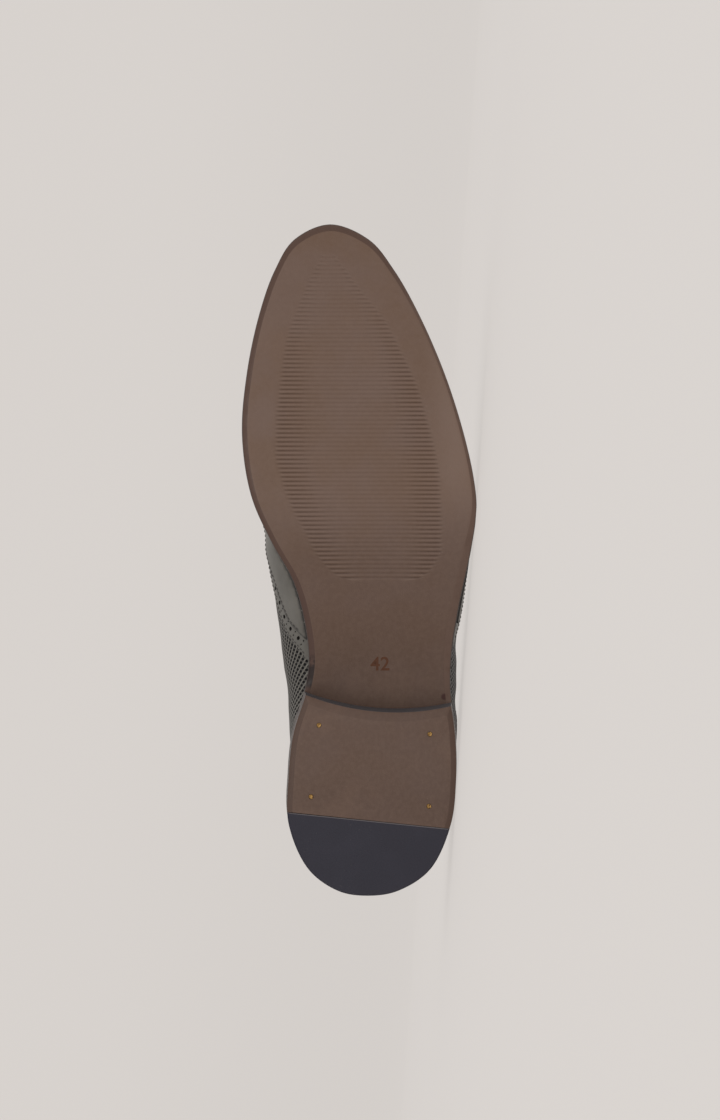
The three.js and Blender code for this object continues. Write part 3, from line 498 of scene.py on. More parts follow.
    def insets(self, side: int, k: np.ndarray) -> tuple[np.ndarray, np.ndarray]:
        """Insets of the upper's widest line and of its foot from the sole's edge.

        Args:
            side: INNER or OUTER.
            k: The sections.

        Returns:
            Both insets for each section.
        """
        s = self.sizes
        at = self.x_at(side, k) / s.length
        name, overhang = ("inner", s.inner_overhang) if side < 0 else ("outer", s.outer_overhang)
        hang = overhang * SECTIONS.read(name, at)
        belly = s.welt_margin * SECTIONS.read("welt", at) - hang
        return belly, belly + hang + s.feather_tuck * SECTIONS.read("tuck", at)

    def ridge(self, x: np.ndarray) -> np.ndarray:
        """Height of the line over the instep."""
        return self.sizes.instep_height * RIDGE.read("height", np.asarray(x) / self.sizes.length)

    def ridge_slope(self, x: np.ndarray) -> np.ndarray:
        """Slope of the line over the instep."""
        return (self.ridge(x + 1) - self.ridge(x - 1)) / 2

    def trace(self, side: int) -> None:
        """Works out the profiles of one side: from the foot over the belly to the ridge.

        Args:
            side: INNER or OUTER.
        """
        s = self.sizes
        k = self.ks
        foot = self.spine(k)
        out = self.out(side, k)
        at = self.xs[side] / s.length
        belly, feather = self.insets(side, k)
        foot_z = self.welt_top(self.xs[side]) + s.curved_clearance
        foot_r = self.reaches[side] - feather
        belly_r = self.reaches[side] - belly
        lift = s.belly_height * SECTIONS.read("belly", at)
        belly_z = foot_z + lift
        ridge_z = self.ridge(foot[:, 0])
        slope = self.ridge_slope(foot[:, 0]) * out[:, 0]
        wall = SECTIONS.read("wall", at) * (ridge_z - belly_z)
        crown = SECTIONS.read("crown", at) * belly_r
        flare = mix(s.outer_flare, s.inner_flare, (1 - out[:, 1]) / 2) * SECTIONS.read("flare", at)
        foot_r, belly_r, foot_z, belly_z = (v[:, None] for v in (foot_r, belly_r, foot_z, belly_z))
        lift, ridge_z, slope = (v[:, None] for v in (lift, ridge_z, slope))
        wall, crown, flare = (v[:, None] for v in (wall, crown, flare))
        low = np.linspace(0, 1, self.LOW_STEPS, endpoint=False)[None]
        high = np.linspace(0, 1, self.HIGH_STEPS)[None]
        low_r = cubic(foot_r, mix(foot_r, belly_r, 0.62), belly_r, belly_r, low)
        low_z = cubic(foot_z, foot_z + 0.25 * lift, foot_z + 0.6 * lift, belly_z, low)
        high_z = cubic(belly_z, belly_z + wall, ridge_z + slope * crown, ridge_z, high)
        opened = np.clip((high_z - belly_z) / (s.ankle_top - belly_z), 0, 1.15)
        high_r = cubic(belly_r, belly_r, crown, 0 * crown, high) + flare * opened ** 3 * (1 - high)
        r = np.concatenate([low_r, high_r], 1)
        z = np.concatenate([low_z, high_z], 1)
        steps = np.hypot(np.diff(r, axis=1), np.diff(z, axis=1))
        along = np.concatenate([np.zeros((len(k), 1)), np.cumsum(steps, 1)], 1)
        self.lengths[side] = along[:, -1]
        share = along / along[:, -1:]
        even_r = np.stack([np.interp(self.shares, share[i], r[i]) for i in range(len(k))])
        even_z = np.stack([np.interp(self.shares, share[i], z[i]) for i in range(len(k))])
        self.lines[side] = (even_r, even_z)
        flat = foot[:, None] + out[:, None] * even_r[..., None]
        self.points[side] = np.concatenate([flat, even_z[..., None]], -1)

    def normals_of(self, points: dict[int, np.ndarray]) -> dict[int, np.ndarray]:
        """Outward normals of both sides' grids, which meet at the toe, the heel and the ridge.

        Args:
            points: Both sides' grids of places.

        Returns:
            Both sides' grids of normals.
        """
        normals = {}
        for side in SIDES:
            here, other = points[side], points[-side]
            padded = np.concatenate([other[1:2], here, other[-2:-1]])
            along = padded[2:] - padded[:-2]
            up = np.gradient(here, axis=1)
            n = unit(np.cross(along, up) * side)
            slope = self.ridge_slope(self.spine(self.ks)[:, 0])
            n[:, -1] = unit(np.stack([-slope, 0 * slope, 1 + 0 * slope], -1))
            normals[side] = n
        return normals

    def creases(self, side: int) -> np.ndarray:
        """Height of the creases over one side's grid.

        Args:
            side: INNER or OUTER.

        Returns:
            The height at each place of the grid.
        """
        x = self.points[side][..., 0]
        share = self.shares[None]
        total = np.zeros_like(x)
        for middle, swing, reach, height, start in CREASES:
            down = 1 - share
            bump = np.exp(-(((x - middle + swing * down ** 1.5) / reach) ** 2))
            fade = ease((share - start) / 0.14) if middle > self.sizes.throat_front else \
                ease((share - start) / 0.08) * ease((0.62 - share) / 0.1)
            total += height * bump * fade
        return total

    def top_edge(self, side: int) -> np.ndarray:
        """Share of the way up each section where the upper ends: ridge, throat or collar.

        Args:
            side: INNER or OUTER.

        Returns:
            One share for each section.
        """
        s = self.sizes
        x = self.xs[side]
        r, z = self.lines[side]
        back = COLLAR.read("back", x / s.length)
        front = COLLAR.read("front", x / s.length)
        rise = s.inner_rise * (1 - back) * (1 - front) if side < 0 else 0
        to_back, to_throat = s.back_top - s.ankle_top, s.throat_top - s.ankle_top
        collar = s.ankle_top + to_back * back + to_throat * front + rise
        gap = self.throat_gap(x)
        tops = np.ones(len(x))
        for i in range(len(x)):
            if x[i] >= s.throat_front:
                continue
            tops[i] = self.first_over(z[i] - collar[i])
            if x[i] >= s.throat_back:
                tops[i] = min(tops[i], self.first_over(gap[i] - r[i]))
        return tops

    def first_over(self, values: np.ndarray) -> float:
        """The first share, above a low start, where a row of values crosses zero.

        Args:
            values: One number for each share.

        Returns:
            The share, or 1 where nothing is crossed.
        """
        start = int(self.LOWEST_TOP * self.ROWS)
        over = np.nonzero(values[start:] > 0)[0]
        if len(over) == 0:
            return 1.0
        i = start + over[0]
        if i == start:
            return float(self.shares[i])
        t = values[i - 1] / (values[i - 1] - values[i])
        return float(mix(self.shares[i - 1], self.shares[i], t))

    def throat_gap(self, x: np.ndarray) -> np.ndarray:
        """Half the gap between the facings.

        Args:
            x: Places along the shoe.

        Returns:
            Half the gap at each place.
        """
        s = self.sizes
        t = np.clip((s.throat_front - x) / (s.throat_front - s.throat_back), 0, 1)
        rounding = np.sqrt(np.clip((s.throat_front - x) / s.throat_round, 0, 1))
        return mix(s.throat_gap_front, s.throat_gap_back, t) * rounding

    def length_of(self, side: int, k: np.ndarray) -> np.ndarray:
        """Length of a section's profile from foot to ridge."""
        return np.interp(k, self.ks, self.lengths[side])

    def top_of(self, side: int, k: np.ndarray) -> np.ndarray:
        """Share of the way up where the upper ends."""
        return np.interp(k, self.ks, self.tops[side])

    def sample(
        self,
        grids: dict[int, np.ndarray],
        side: int,
        k: np.ndarray,
        share: np.ndarray,
    ) -> np.ndarray:
        """Reads a side's grid between its points.

        Args:
            grids: Both sides' grids, of places or of normals.
            side: INNER or OUTER.
            k: The section of each point.
            share: How far up its section each point is.

        Returns:
            What the grid holds there, one row for each point.
        """
        row = np.clip(np.interp(k, self.ks, np.arange(len(self.ks))), 0, len(self.ks) - 1.0001)
        column = np.clip(share, 0, 1) * self.ROWS * 0.999999
        i, j = row.astype(int), column.astype(int)
        a, b = (row - i)[..., None], (column - j)[..., None]
        g = grids[side]
        low = mix(g[i, j], g[i + 1, j], a)
        return mix(low, mix(g[i, j + 1], g[i + 1, j + 1], a), b)

    def lay(
        self,
        side: int,
        k: np.ndarray,
        share: np.ndarray,
        offset: np.ndarray | float = 0.0,
    ) -> np.ndarray:
        """Points laid on the last.

        Args:
            side: INNER or OUTER.
            k: The section of each point.
            share: How far up its section each point is.
            offset: How far out of the upper's outer face.

        Returns:
            The points, whose feet stay clear of the welt.
        """
        k, share = np.broadcast_arrays(np.asarray(k, float), np.asarray(share, float))
        p = self.sample(self.points, side, k, share)
        n = unit(self.sample(self.normals, side, k, share))
        p = p + n * np.asarray(offset, float)[..., None]
        floor = self.welt_top(p[..., 0]) + self.sizes.curved_clearance
        p[..., 2] = np.maximum(p[..., 2], floor)
        return p

    def normal(self, side: int, k: np.ndarray, share: np.ndarray) -> np.ndarray:
        """Outward normals at places on the last."""
        k, share = np.broadcast_arrays(np.asarray(k, float), np.asarray(share, float))
        return unit(self.sample(self.normals, side, k, share))


class Lying:
    """Turns places of the standing shoe into the frame, where it lies on its outer side."""

    HEEL_SPOT = (60.0, 5.0)
    TREAD_SPOT = (197.0, -3.0)

    def __init__(self, record: dict) -> None:
        """Finds the turn from the record's two mount points under the sole.

        Args:
            record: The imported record.
        """
        mounts = {m["name"]: m for m in record["mounts"]}
        heel = np.array(mounts["heel_bottom"]["pos_m"]) / MM
        tread = np.array(mounts["tread"]["pos_m"]) / MM
        up = unit(-np.array(mounts["heel_bottom"]["axis"]))
        ahead = tread - heel
        ahead = unit(ahead - up * (ahead @ up))
        across = np.cross(up, ahead)
        run = np.subtract(self.TREAD_SPOT, self.HEEL_SPOT)
        cos, sin = run / np.linalg.norm(run)
        self.axes = np.array([ahead * cos - across * sin, ahead * sin + across * cos, up])
        self.origin = heel - np.array([*self.HEEL_SPOT, 0.0]) @ self.axes

    def place(self, points: np.ndarray) -> np.ndarray:
        """Standing places in millimetres as frame places in metres."""
        return (np.asarray(points, float) @ self.axes + self.origin) * MM

    def turn(self, ways: np.ndarray) -> np.ndarray:
        """Standing directions as frame directions."""
        return np.asarray(ways, float) @ self.axes


@dataclass
class Form:
    """A mesh in the making: points in standing millimetres, faces, and fields for its finish."""

    points: list[np.ndarray] = field(default_factory=list)
    faces: list[tuple[int, ...]] = field(default_factory=list)
    slots: list[int] = field(default_factory=list)
    lay: list[np.ndarray] = field(default_factory=list)
    tone: list[np.ndarray] = field(default_factory=list)
    count: int = 0

    def add(
        self,
        points: np.ndarray,
        faces: Sequence[Sequence[int]],
        slot: int = 0,
        lay: np.ndarray | None = None,
        tone: np.ndarray | float = 0.0,
    ) -> None:
        """Adds points and the faces between them.

        Args:
            points: Standing places, one row each.
            faces: Indices into those points.
            slot: The finish's place in the piece's list.
            lay: Places along the leather, in millimetres, for weave and seams.
            tone: A value from 0 to 1 for the finish.
        """
        points = np.asarray(points, float).reshape(-1, 3)
        base = self.count
        tones = np.broadcast_to(np.asarray(tone, float).reshape(-1), (len(points),))
        corners = faces.ravel() if isinstance(faces, np.ndarray) else [i for face in faces for i in face]
        self.points.append(points)
        self.faces.extend(tuple(int(i) + base for i in face) for face in faces)
        self.slots.extend([slot] * len(faces))
        corners = np.array(corners, int)
        places = points if lay is None else np.asarray(lay, float).reshape(-1, 3)
        self.lay.append(places[corners])
        self.tone.append(tones[corners])
        self.count += len(points)

    def grid(
        self,
        points: np.ndarray,
        slot: int = 0,
        closed: bool = False,
        lay: np.ndarray | None = None,
        tone: np.ndarray | float = 0.0,
        flip: bool = False,
    ) -> None:
        """Adds a net of four-cornered faces over rows of points.

        Args:
            points: Rows by columns of places.
            slot: The finish's place in the piece's list.
            closed: Whether the last row joins the first.
            lay: Places along the leather, as points.
            tone: A value for the finish, as points or one for all.
            flip: Whether the faces look the other way.
        """
        rows, columns = points.shape[:2]
        index = np.arange(rows * columns).reshape(rows, columns)
        if closed:
            index = np.concatenate([index, index[:1]])
        a, b, c, d = index[:-1, :-1], index[:-1, 1:], index[1:, 1:], index[1:, :-1]
        order = (d, c, b, a) if flip else (a, b, c, d)
        faces = np.stack([v.ravel() for v in order], -1)
        tones = np.broadcast_to(np.asarray(tone, float), (rows, columns)).ravel()
        self.add(points, faces, slot, None if lay is None else lay.reshape(-1, 3), tones)

    def make(
        self,
        name: str,
        lying: Lying,
        finishes: Sequence[bpy.types.Material],
        merge: float = SHARED_POINT,
        corner: float = CORNER_ANGLE,
    ) -> bpy.types.Object:
        """Makes the Blender object.

        Args:
            name: The object's name.
            lying: Where the shoe lies.
            finishes: The materials of the faces' slots.
            merge: Points closer than this, in millimetres, become one.
            corner: Edges sharper than this angle stay crisp.

        Returns:
            The object, in the frame's metres.
        """
        spots = np.concatenate(self.points)
        mesh = bpy.data.meshes.new(name)
        mesh.from_pydata(lying.place(spots).tolist(), [], self.faces)
        fields = (("spot", spots, "POINT"), ("lay", np.concatenate(self.lay), "CORNER"))
        for title, values, where in fields:
            layer = mesh.attributes.new(title, "FLOAT_VECTOR", where)
            layer.data.foreach_set("vector", values.astype(np.float32).ravel())
        tones = mesh.attributes.new("tone", "FLOAT", "CORNER")
        tones.data.foreach_set("value", np.concatenate(self.tone).astype(np.float32))
        mesh.polygons.foreach_set("material_index", np.array(self.slots, np.int32))
        for finish in finishes:
            mesh.materials.append(finish)
        work = bmesh.new()
        work.from_mesh(mesh)
        bmesh.ops.remove_doubles(work, verts=work.verts, dist=merge * MM)
        bmesh.ops.dissolve_degenerate(work, edges=work.edges, dist=merge * MM / 4)
        loose = [v for v in work.verts if not v.link_faces]
        bmesh.ops.delete(work, geom=loose, context="VERTS")
        bmesh.ops.recalc_face_normals(work, faces=work.faces)
        work.to_mesh(mesh)
        work.free()
        mesh.shade_smooth()
        mesh.set_sharp_from_angle(angle=corner)
        piece = bpy.data.objects.new(name, mesh)
        bpy.context.scene.collection.objects.link(piece)
        return piece


def paint(red: int, green: int, blue: int, alpha: float = 1.0) -> tuple[float, float, float, float]:
    """A colour given in everyday 0 to 255 numbers, as Blender's linear one.

    Args:
        red: Red.
        green: Green.
        blue: Blue.
        alpha: How opaque it is, 0 to 1.

    Returns:
        The linear colour.
    """
    def linear(v: float) -> float:
        """One channel made linear."""
        v /= 255
        return v / 12.92 if v <= 0.04045 else ((v + 0.055) / 1.055) ** 2.4
    return (linear(red), linear(green), linear(blue), alpha)


Socket = bpy.types.NodeSocket
CUT_LEATHER = paint(44, 42, 40)


class Graph:
    """A short way to write down a node tree."""

    def __init__(self, tree: bpy.types.NodeTree) -> None:
        """Starts on a tree."""
        self.tree = tree
        self.column = 0

    def node(self, kind: str, **settings: object) -> bpy.types.Node:
        """Adds a node of a kind and sets its properties.

        Args:
            kind: Blender's name for the node.
            settings: Its properties.

        Returns:
            The node.
        """
        made = self.tree.nodes.new(kind)
        self.column += 1
        made.location = (190 * (self.column % 12), -260 * (self.column // 12))
        for name, value in settings.items():
            setattr(made, name, value)
        return made

    def feed(self, socket: Socket, value: Socket | float | Sequence[float]) -> None:
        """Links a socket or sets its number.

        Args:
            socket: The socket that is fed.
            value: What it gets.
        """
        if isinstance(value, bpy.types.NodeSocket):
            self.tree.links.new(value, socket)
        else:
            socket.default_value = value

    def field(self, name: str, vector: bool = False) -> Socket:
        """Reads a field that was stored on the mesh."""
        made = self.node("ShaderNodeAttribute", attribute_type="GEOMETRY", attribute_name=name)
        return made.outputs["Vector" if vector else "Fac"]

    def math(self, how: str, a: Socket | float, b: Socket | float = 0.0, clamp: bool = False) -> Socket:
        """One step of arithmetic.

        Args:
            how: Blender's name for the step.
            a: The first value.
            b: The second value.
            clamp: Whether the result is held between 0 and 1.

        Returns:
            The result.
        """
        made = self.node("ShaderNodeMath", operation=how, use_clamp=clamp)
        self.feed(made.inputs[0], a)
        self.feed(made.inputs[1], b)
        return made.outputs[0]

    def times(self, a: Socket | float, b: Socket | float) -> Socket:
        """One value times another."""
        return self.math("MULTIPLY", a, b)

    def scaled(self, value: Socket, by: float, plus: Socket | float) -> Socket:
        """A value scaled and raised.

        Args:
            value: The value.
            by: What it is scaled by.
            plus: What is added.

        Returns:
            The result.
        """
        made = self.math("MULTIPLY_ADD", value, by)
        self.feed(made.node.inputs[2], plus)
        return made

    def span(
        self,
        value: Socket,
        low: float,
        high: float,
        to_low: float = 0.0,
        to_high: float = 1.0,
    ) -> Socket:
        """Turns a span of values into another, softly and held at both ends.

        Args:
            value: What is turned.
            low: The value that becomes to_low.
            high: The value that becomes to_high.
            to_low: What stands for low.
            to_high: What stands for high.

        Returns:
            The new value.
        """
        made = self.node("ShaderNodeMapRange", interpolation_type="SMOOTHSTEP", clamp=True)
        for socket, number in zip(made.inputs[:5], (value, low, high, to_low, to_high)):
            self.feed(socket, number)
        return made.outputs[0]

    def blend(
        self,
        share: Socket | float,
        a: Socket | Sequence[float],
        b: Socket | Sequence[float],
        how: str = "MIX",
    ) -> Socket:
        """Blends two colours.

        Args:
            share: How much of b there is.
            a: The first colour.
            b: The second colour.
            how: Blender's name for the way they mix.

        Returns:
            The blended colour.
        """
        made = self.node("ShaderNodeMix", data_type="RGBA", blend_type=how, clamp_factor=True)
        self.feed(made.inputs["Factor"], share)
        colours = [socket for socket in made.inputs if socket.type == "RGBA"]
        self.feed(colours[0], a)
        self.feed(colours[1], b)
        return [socket for socket in made.outputs if socket.type == "RGBA"][0]

    def stretch(self, vector: Socket, by: Sequence[float], turn: float = 0.0) -> Socket:
        """Scales and turns places.

        Args:
            vector: The places.
            by: The scale along each axis.
            turn: The turn about the third axis.

        Returns:
            The new places.
        """
        made = self.node("ShaderNodeMapping")
        self.feed(made.inputs["Vector"], vector)
        made.inputs["Rotation"].default_value = (0, 0, turn)
        made.inputs["Scale"].default_value = by
        return made.outputs[0]

    def noise(self, vector: Socket, scale: float, detail: float = 3.0, rough: float = 0.55) -> Socket:
        """Even noise between about 0 and 1.

        Args:
            vector: The places.
            scale: How fine it is.
            detail: How many layers it has.
            rough: How strong the fine layers are.

        Returns:
            The noise.
        """
        made = self.node("ShaderNodeTexNoise", noise_dimensions="3D")
        self.feed(made.inputs["Vector"], vector)
        self.feed(made.inputs["Scale"], scale)
        made.inputs["Detail"].default_value = detail
        made.inputs["Roughness"].default_value = rough
        return made.outputs["Fac"]

    def cells(self, vector: Socket, scale: float, what: str = "F1", out: str = "Distance") -> Socket:
        """Distances in a pattern of cells.

        Args:
            vector: The places.
            scale: How fine the cells are.
            what: Blender's name for the distance.
            out: The output that is read.

        Returns:
            The distance.
        """
        made = self.node("ShaderNodeTexVoronoi", feature=what)
        self.feed(made.inputs["Vector"], vector)
        self.feed(made.inputs["Scale"], scale)
        return made.outputs[out]

    def axes(self, vector: Socket) -> tuple[Socket, Socket, Socket]:
        """A place's three numbers.

        Args:
            vector: The place.

        Returns:
            Its three numbers.
        """
        made = self.node("ShaderNodeSeparateXYZ")
        self.feed(made.inputs[0], vector)
        return made.outputs[0], made.outputs[1], made.outputs[2]

    def use(self, group: bpy.types.NodeTree, **inputs: Socket | float | Sequence[float]) -> bpy.types.Node:
        """Places a shared effect and feeds its inputs by name.

        Args:
            group: The effect.
            inputs: What its inputs get.

        Returns:
            The placed group.
        """
        made = self.node("ShaderNodeGroup", node_tree=group)
        for name, value in inputs.items():
            self.feed(made.inputs[name.replace("_", " ").capitalize()], value)
        return made


class Effects:
    """Effects that several finishes share, each built once."""

    def __init__(self) -> None:
        """Builds every shared effect."""
        self.grain = self.build_grain()
        self.scuffs = self.build_scuffs()
        self.dust = self.build_dust()

    @staticmethod
    def start(
        name: str,
        inputs: dict[str, float | None],
        outputs: Sequence[str],
    ) -> tuple[Graph, dict, dict]:
        """Starts a group with named sockets.

        Args:
            name: The effect's name.
            inputs: Names with their numbers, or None for a place.
            outputs: Names of the values that it puts out.

        Returns:
            The graph, its input sockets and the sockets that its results go to.
        """
        tree = bpy.data.node_groups.new(name, "ShaderNodeTree")
        for title, number in inputs.items():
            kind = "NodeSocketVector" if number is None else "NodeSocketFloat"
            made = tree.interface.new_socket(name=title, in_out="INPUT", socket_type=kind)
            if number is not None:
                made.default_value = number
        for title in outputs:
            tree.interface.new_socket(name=title, in_out="OUTPUT", socket_type="NodeSocketFloat")
        graph = Graph(tree)
        entry = graph.node("NodeGroupInput")
        leave = graph.node("NodeGroupOutput")
        return graph, dict(entry.outputs.items()), dict(leave.inputs.items())

    def build_grain(self) -> bpy.types.NodeTree:
        """Leather grain: small rounded pebbles with fine lines between them.

        Returns:
            The group.
        """
        g, given, result = self.start("leather grain", {"Place": None, "Scale": 1.0}, ["Height", "Mottle"])
        warp = g.node("ShaderNodeVectorMath", operation="MULTIPLY_ADD")
        noise = g.node("ShaderNodeTexNoise")
        g.feed(noise.inputs["Vector"], given["Place"])
        g.feed(noise.inputs["Scale"], given["Scale"])
        g.feed(warp.inputs[0], noise.outputs["Color"])
        warp.inputs[1].default_value = (0.35, 0.35, 0.35)
        g.feed(warp.inputs[2], given["Place"])
        pebble = g.cells(warp.outputs[0], given["Scale"], "SMOOTH_F1")
        fine = g.noise(given["Place"], g.times(given["Scale"], 3.1), 4)
        g.feed(result["Height"], g.scaled(fine, 0.45, g.scaled(pebble, -0.8, 1.0)))
        g.feed(result["Mottle"], g.noise(given["Place"], g.times(given["Scale"], 0.13), 3))
        return g.tree

    def build_scuffs(self) -> bpy.types.NodeTree:
        """Scuffs: sparse thin scratches, and rubbed patches.

        Returns:
            The group.
        """
        g, given, result = self.start("scuffs", {"Place": None, "Amount": 0.5}, ["Scratches", "Rubbed"])
        lines = None
        for turn, scale in ((0.35, 0.055), (1.2, 0.07), (2.4, 0.05)):
            long = g.stretch(given["Place"], (scale * 14, scale, scale * 14), turn)
            streak = g.noise(long, 1.0, 2, 0.4)
            thin = g.span(g.math("ABSOLUTE", g.math("SUBTRACT", streak, 0.5)), 0.0, 0.012, 1, 0)
            lines = thin if lines is None else g.math("MAXIMUM", lines, thin)
        broken = g.span(g.noise(given["Place"], 0.06, 3), 0.55, 0.75)
        g.feed(result["Scratches"], g.times(g.times(lines, broken), given["Amount"]))
        patches = g.span(g.noise(given["Place"], 0.035, 5, 0.65), 0.5, 0.72)
        g.feed(result["Rubbed"], g.times(patches, given["Amount"]))
        return g.tree

    def build_dust(self) -> bpy.types.NodeTree:
        """Dust: fine pale specks, thicker in patches.

        Returns:
            The group.
        """
        g, given, result = self.start("dust", {"Place": None, "Amount": 0.5}, ["Specks"])
        speck = g.span(g.cells(given["Place"], 0.55), 0.0, 0.14, 1, 0)
        patch = g.span(g.noise(given["Place"], 0.05, 4), 0.48, 0.66)
        g.feed(result["Specks"], g.times(g.times(speck, patch), given["Amount"]))
        return g.tree


class Finish:
    """A finish of one kind of surface, which makes its material."""

    name = "finish"
    rough = 0.6
    specular = 0.4
    coat = 0.0
    coat_rough = 0.3
    metal = 0.0

    def __init__(self, effects: Effects) -> None:
        """Makes the material.

        Args:
            effects: The shared effects.
        """
        self.effects = effects
        self.material = bpy.data.materials.new(self.name)
        self.material.use_nodes = True
        self.graph = Graph(self.material.node_tree)
        self.shader = self.material.node_tree.nodes["Principled BSDF"]
        self.shader.inputs["Roughness"].default_value = self.rough
        self.shader.inputs["Specular IOR Level"].default_value = self.specular
        self.shader.inputs["Coat Weight"].default_value = self.coat
        self.shader.inputs["Coat Roughness"].default_value = self.coat_rough
        self.shader.inputs["Metallic"].default_value = self.metal
        self.dress()

    def dress(self) -> None:
        """Builds the nodes that vary over the surface."""
        raise NotImplementedError

    def bump(self, height: Socket, distance: float) -> None:
        """Sends a height to the surface.

        Args:
            height: The height, 0 to about 1.
            distance: How high 1 is, in millimetres.
        """
        made = self.graph.node("ShaderNodeBump")
        made.inputs["Strength"].default_value = 1.0
        made.inputs["Distance"].default_value = distance * MM
        self.graph.feed(made.inputs["Height"], height)
        self.graph.feed(self.shader.inputs["Normal"], made.outputs[0])

    def colour(self, value: Socket) -> None:
        """Sends a colour to the surface."""
        self.graph.feed(self.shader.inputs["Base Color"], value)

    def roughness(self, value: Socket) -> None:
        """Sends a roughness to the surface."""
        self.graph.feed(self.shader.inputs["Roughness"], value)


class SoleLeather(Finish):
    """The outsole's stained and lightly burnished face: mottled brown, worn on its ribs, with painted shade
    in the rib grooves and painted light on the outer side.
    """

    name = "sole leather"
    rough = 0.55
    base = paint(107, 86, 75)
    warm = paint(104, 81, 66)
    pale = paint(123, 102, 90)
    dark = paint(74, 54, 44)
    stain = paint(64, 34, 28)
    speck = paint(138, 120, 108)
    glue_x = 88.8
    glue_y = 38.6

    def dress(self) -> None:
        """Mottle, darker waist and heel, painted light on the outer forefoot, painted shade in the rib
        grooves and a painted highlight with wear on the crests, scuffs, a stain and specks.
        """
        g = self.graph
        spot = g.field("spot", True)
        tone = g.field("tone")
        x, y, _ = g.axes(spot)
        wide = g.noise(spot, 0.028, 4, 0.6)
        small = g.noise(spot, 0.45, 5, 0.65)
        colour = g.blend(g.span(wide, 0.35, 0.65), self.base, self.warm)
        waist = g.math("ADD", g.span(x, 184.0, 146.0, 0.0, 0.43), g.span(x, 140.0, 96.0, 0.0, 0.16))
        colour = g.blend(waist, colour, self.dark)
        colour = g.blend(g.span(x, 60.0, 42.0, 0.0, 0.28), colour, self.dark)
        # Painted light: the outer side of the forefoot's face is painted paler, as if more light fell on
        # it.
        outer = g.times(g.span(y, 26.0, 44.0, 0.0, 0.6), g.span(x, 165.0, 195.0))
        colour = g.blend(outer, colour, self.pale)
        colour = g.blend(g.span(small, 0.3, 0.75, 0.0, 0.18), colour, self.pale)
        scuff = g.use(self.effects.scuffs, place=spot, amount=0.6)
        colour = g.blend(g.times(scuff.outputs["Rubbed"], 0.35), colour, self.pale)
        colour = g.blend(g.times(scuff.outputs["Scratches"], 0.5), colour, self.dark)
        # Tone below 0.5 darkens: painted shade in the rib grooves, and the stained bevel where the top
        # piece uses this finish. Tone above 0.5 is a painted highlight on the rib crests, together with
        # their wear.
        groove = g.span(tone, 0.0, 0.5, 0.75, 0.0)
        colour = g.blend(groove, colour, self.dark)
        crest = g.span(tone, 0.5, 1.0, 0.0, 0.4)
        colour = g.blend(crest, colour, self.pale)
        away = g.math("ADD", g.math("POWER", g.math("SUBTRACT", x, self.glue_x), 2.0),
                      g.math("POWER", g.math("SUBTRACT", y, self.glue_y), 2.0))
        colour = g.blend(g.span(away, 3.4, 0.6), colour, self.stain)
        dust = g.use(self.effects.dust, place=spot, amount=0.35)
        colour = g.blend(dust.outputs["Specks"], colour, self.speck)
        self.colour(colour)
        grain = g.use(self.effects.grain, place=spot, scale=2.4)
        self.roughness(g.scaled(scuff.outputs["Rubbed"], 0.2, self.rough))
        self.bump(grain.outputs["Height"], 0.05)


class BevelStain(Finish):
    """The sole's bevel: a darker, redder stain, lifted towards the face's colour by painted light, with a
    dark glue stain at its inner end.
    """

    name = "bevel stain"
    rough = 0.5
    base = paint(82, 60, 50)
    face = paint(100, 79, 68)
    glue = paint(34, 19, 14)
    glue_from = 94.5
    glue_to = 110.0
    glue_fade = 6.0
    cloudy = paint(78, 56, 46)
    waist = paint(74, 52, 44)

    def dress(self) -> None:
        """Mottle, the painted light that fades it into the face's colour, and the glue stain."""
        g = self.graph
        spot = g.field("spot", True)
        x, y, _ = g.axes(spot)
        cloud = g.noise(spot, 0.2, 4)
        # Painted light: the tone fades the bevel from its own stain to the face's colour.
        colour = g.blend(g.span(g.field("tone"), 0.0, 1.0), self.base, self.face)
        colour = g.blend(g.span(cloud, 0.4, 0.7, 0.0, 0.25), colour, self.cloudy)
        waist = g.times(g.span(x, 165.0, 120.0), g.span(y, 0.0, -10.0))
        colour = g.blend(g.times(waist, 0.55), colour, self.waist)
        front = g.span(x, self.glue_to, self.glue_to - self.glue_fade)
        patch = g.times(front, g.span(x, self.glue_from - self.glue_fade / 2, self.glue_from))
        thin = g.span(x, self.glue_to - 10.0, self.glue_to, 0.0, 0.22)
        blots = g.span(g.math("SUBTRACT", g.noise(spot, 0.28, 3), thin), 0.2, 0.42)
        patch = g.times(patch, blots)
        colour = g.blend(g.times(patch, g.span(y, -10.0, -20.0)), colour, self.glue)
        self.colour(colour)
        grain = g.use(self.effects.grain, place=spot, scale=2.4)
        self.roughness(g.span(cloud, 0.3, 0.7, 0.42, 0.58))
        self.bump(grain.outputs["Height"], 0.05)


class BreastPaint(Finish):
    """Grey paint of the heel breast."""

    name = "breast paint"
    rough = 0.55
    base = paint(88, 88, 93)
    dark = paint(68, 68, 73)

    def dress(self) -> None:
        """Brush lines across the breast."""
        g = self.graph
        spot = g.field("spot", True)
        brush = g.noise(g.stretch(spot, (0.6, 0.15, 1.6)), 1.0, 4)
        self.colour(g.blend(g.span(brush, 0.35, 0.7), self.dark, self.base))
        self.roughness(g.span(brush, 0.3, 0.7, 0.45, 0.65))
        self.bump(brush, 0.06)


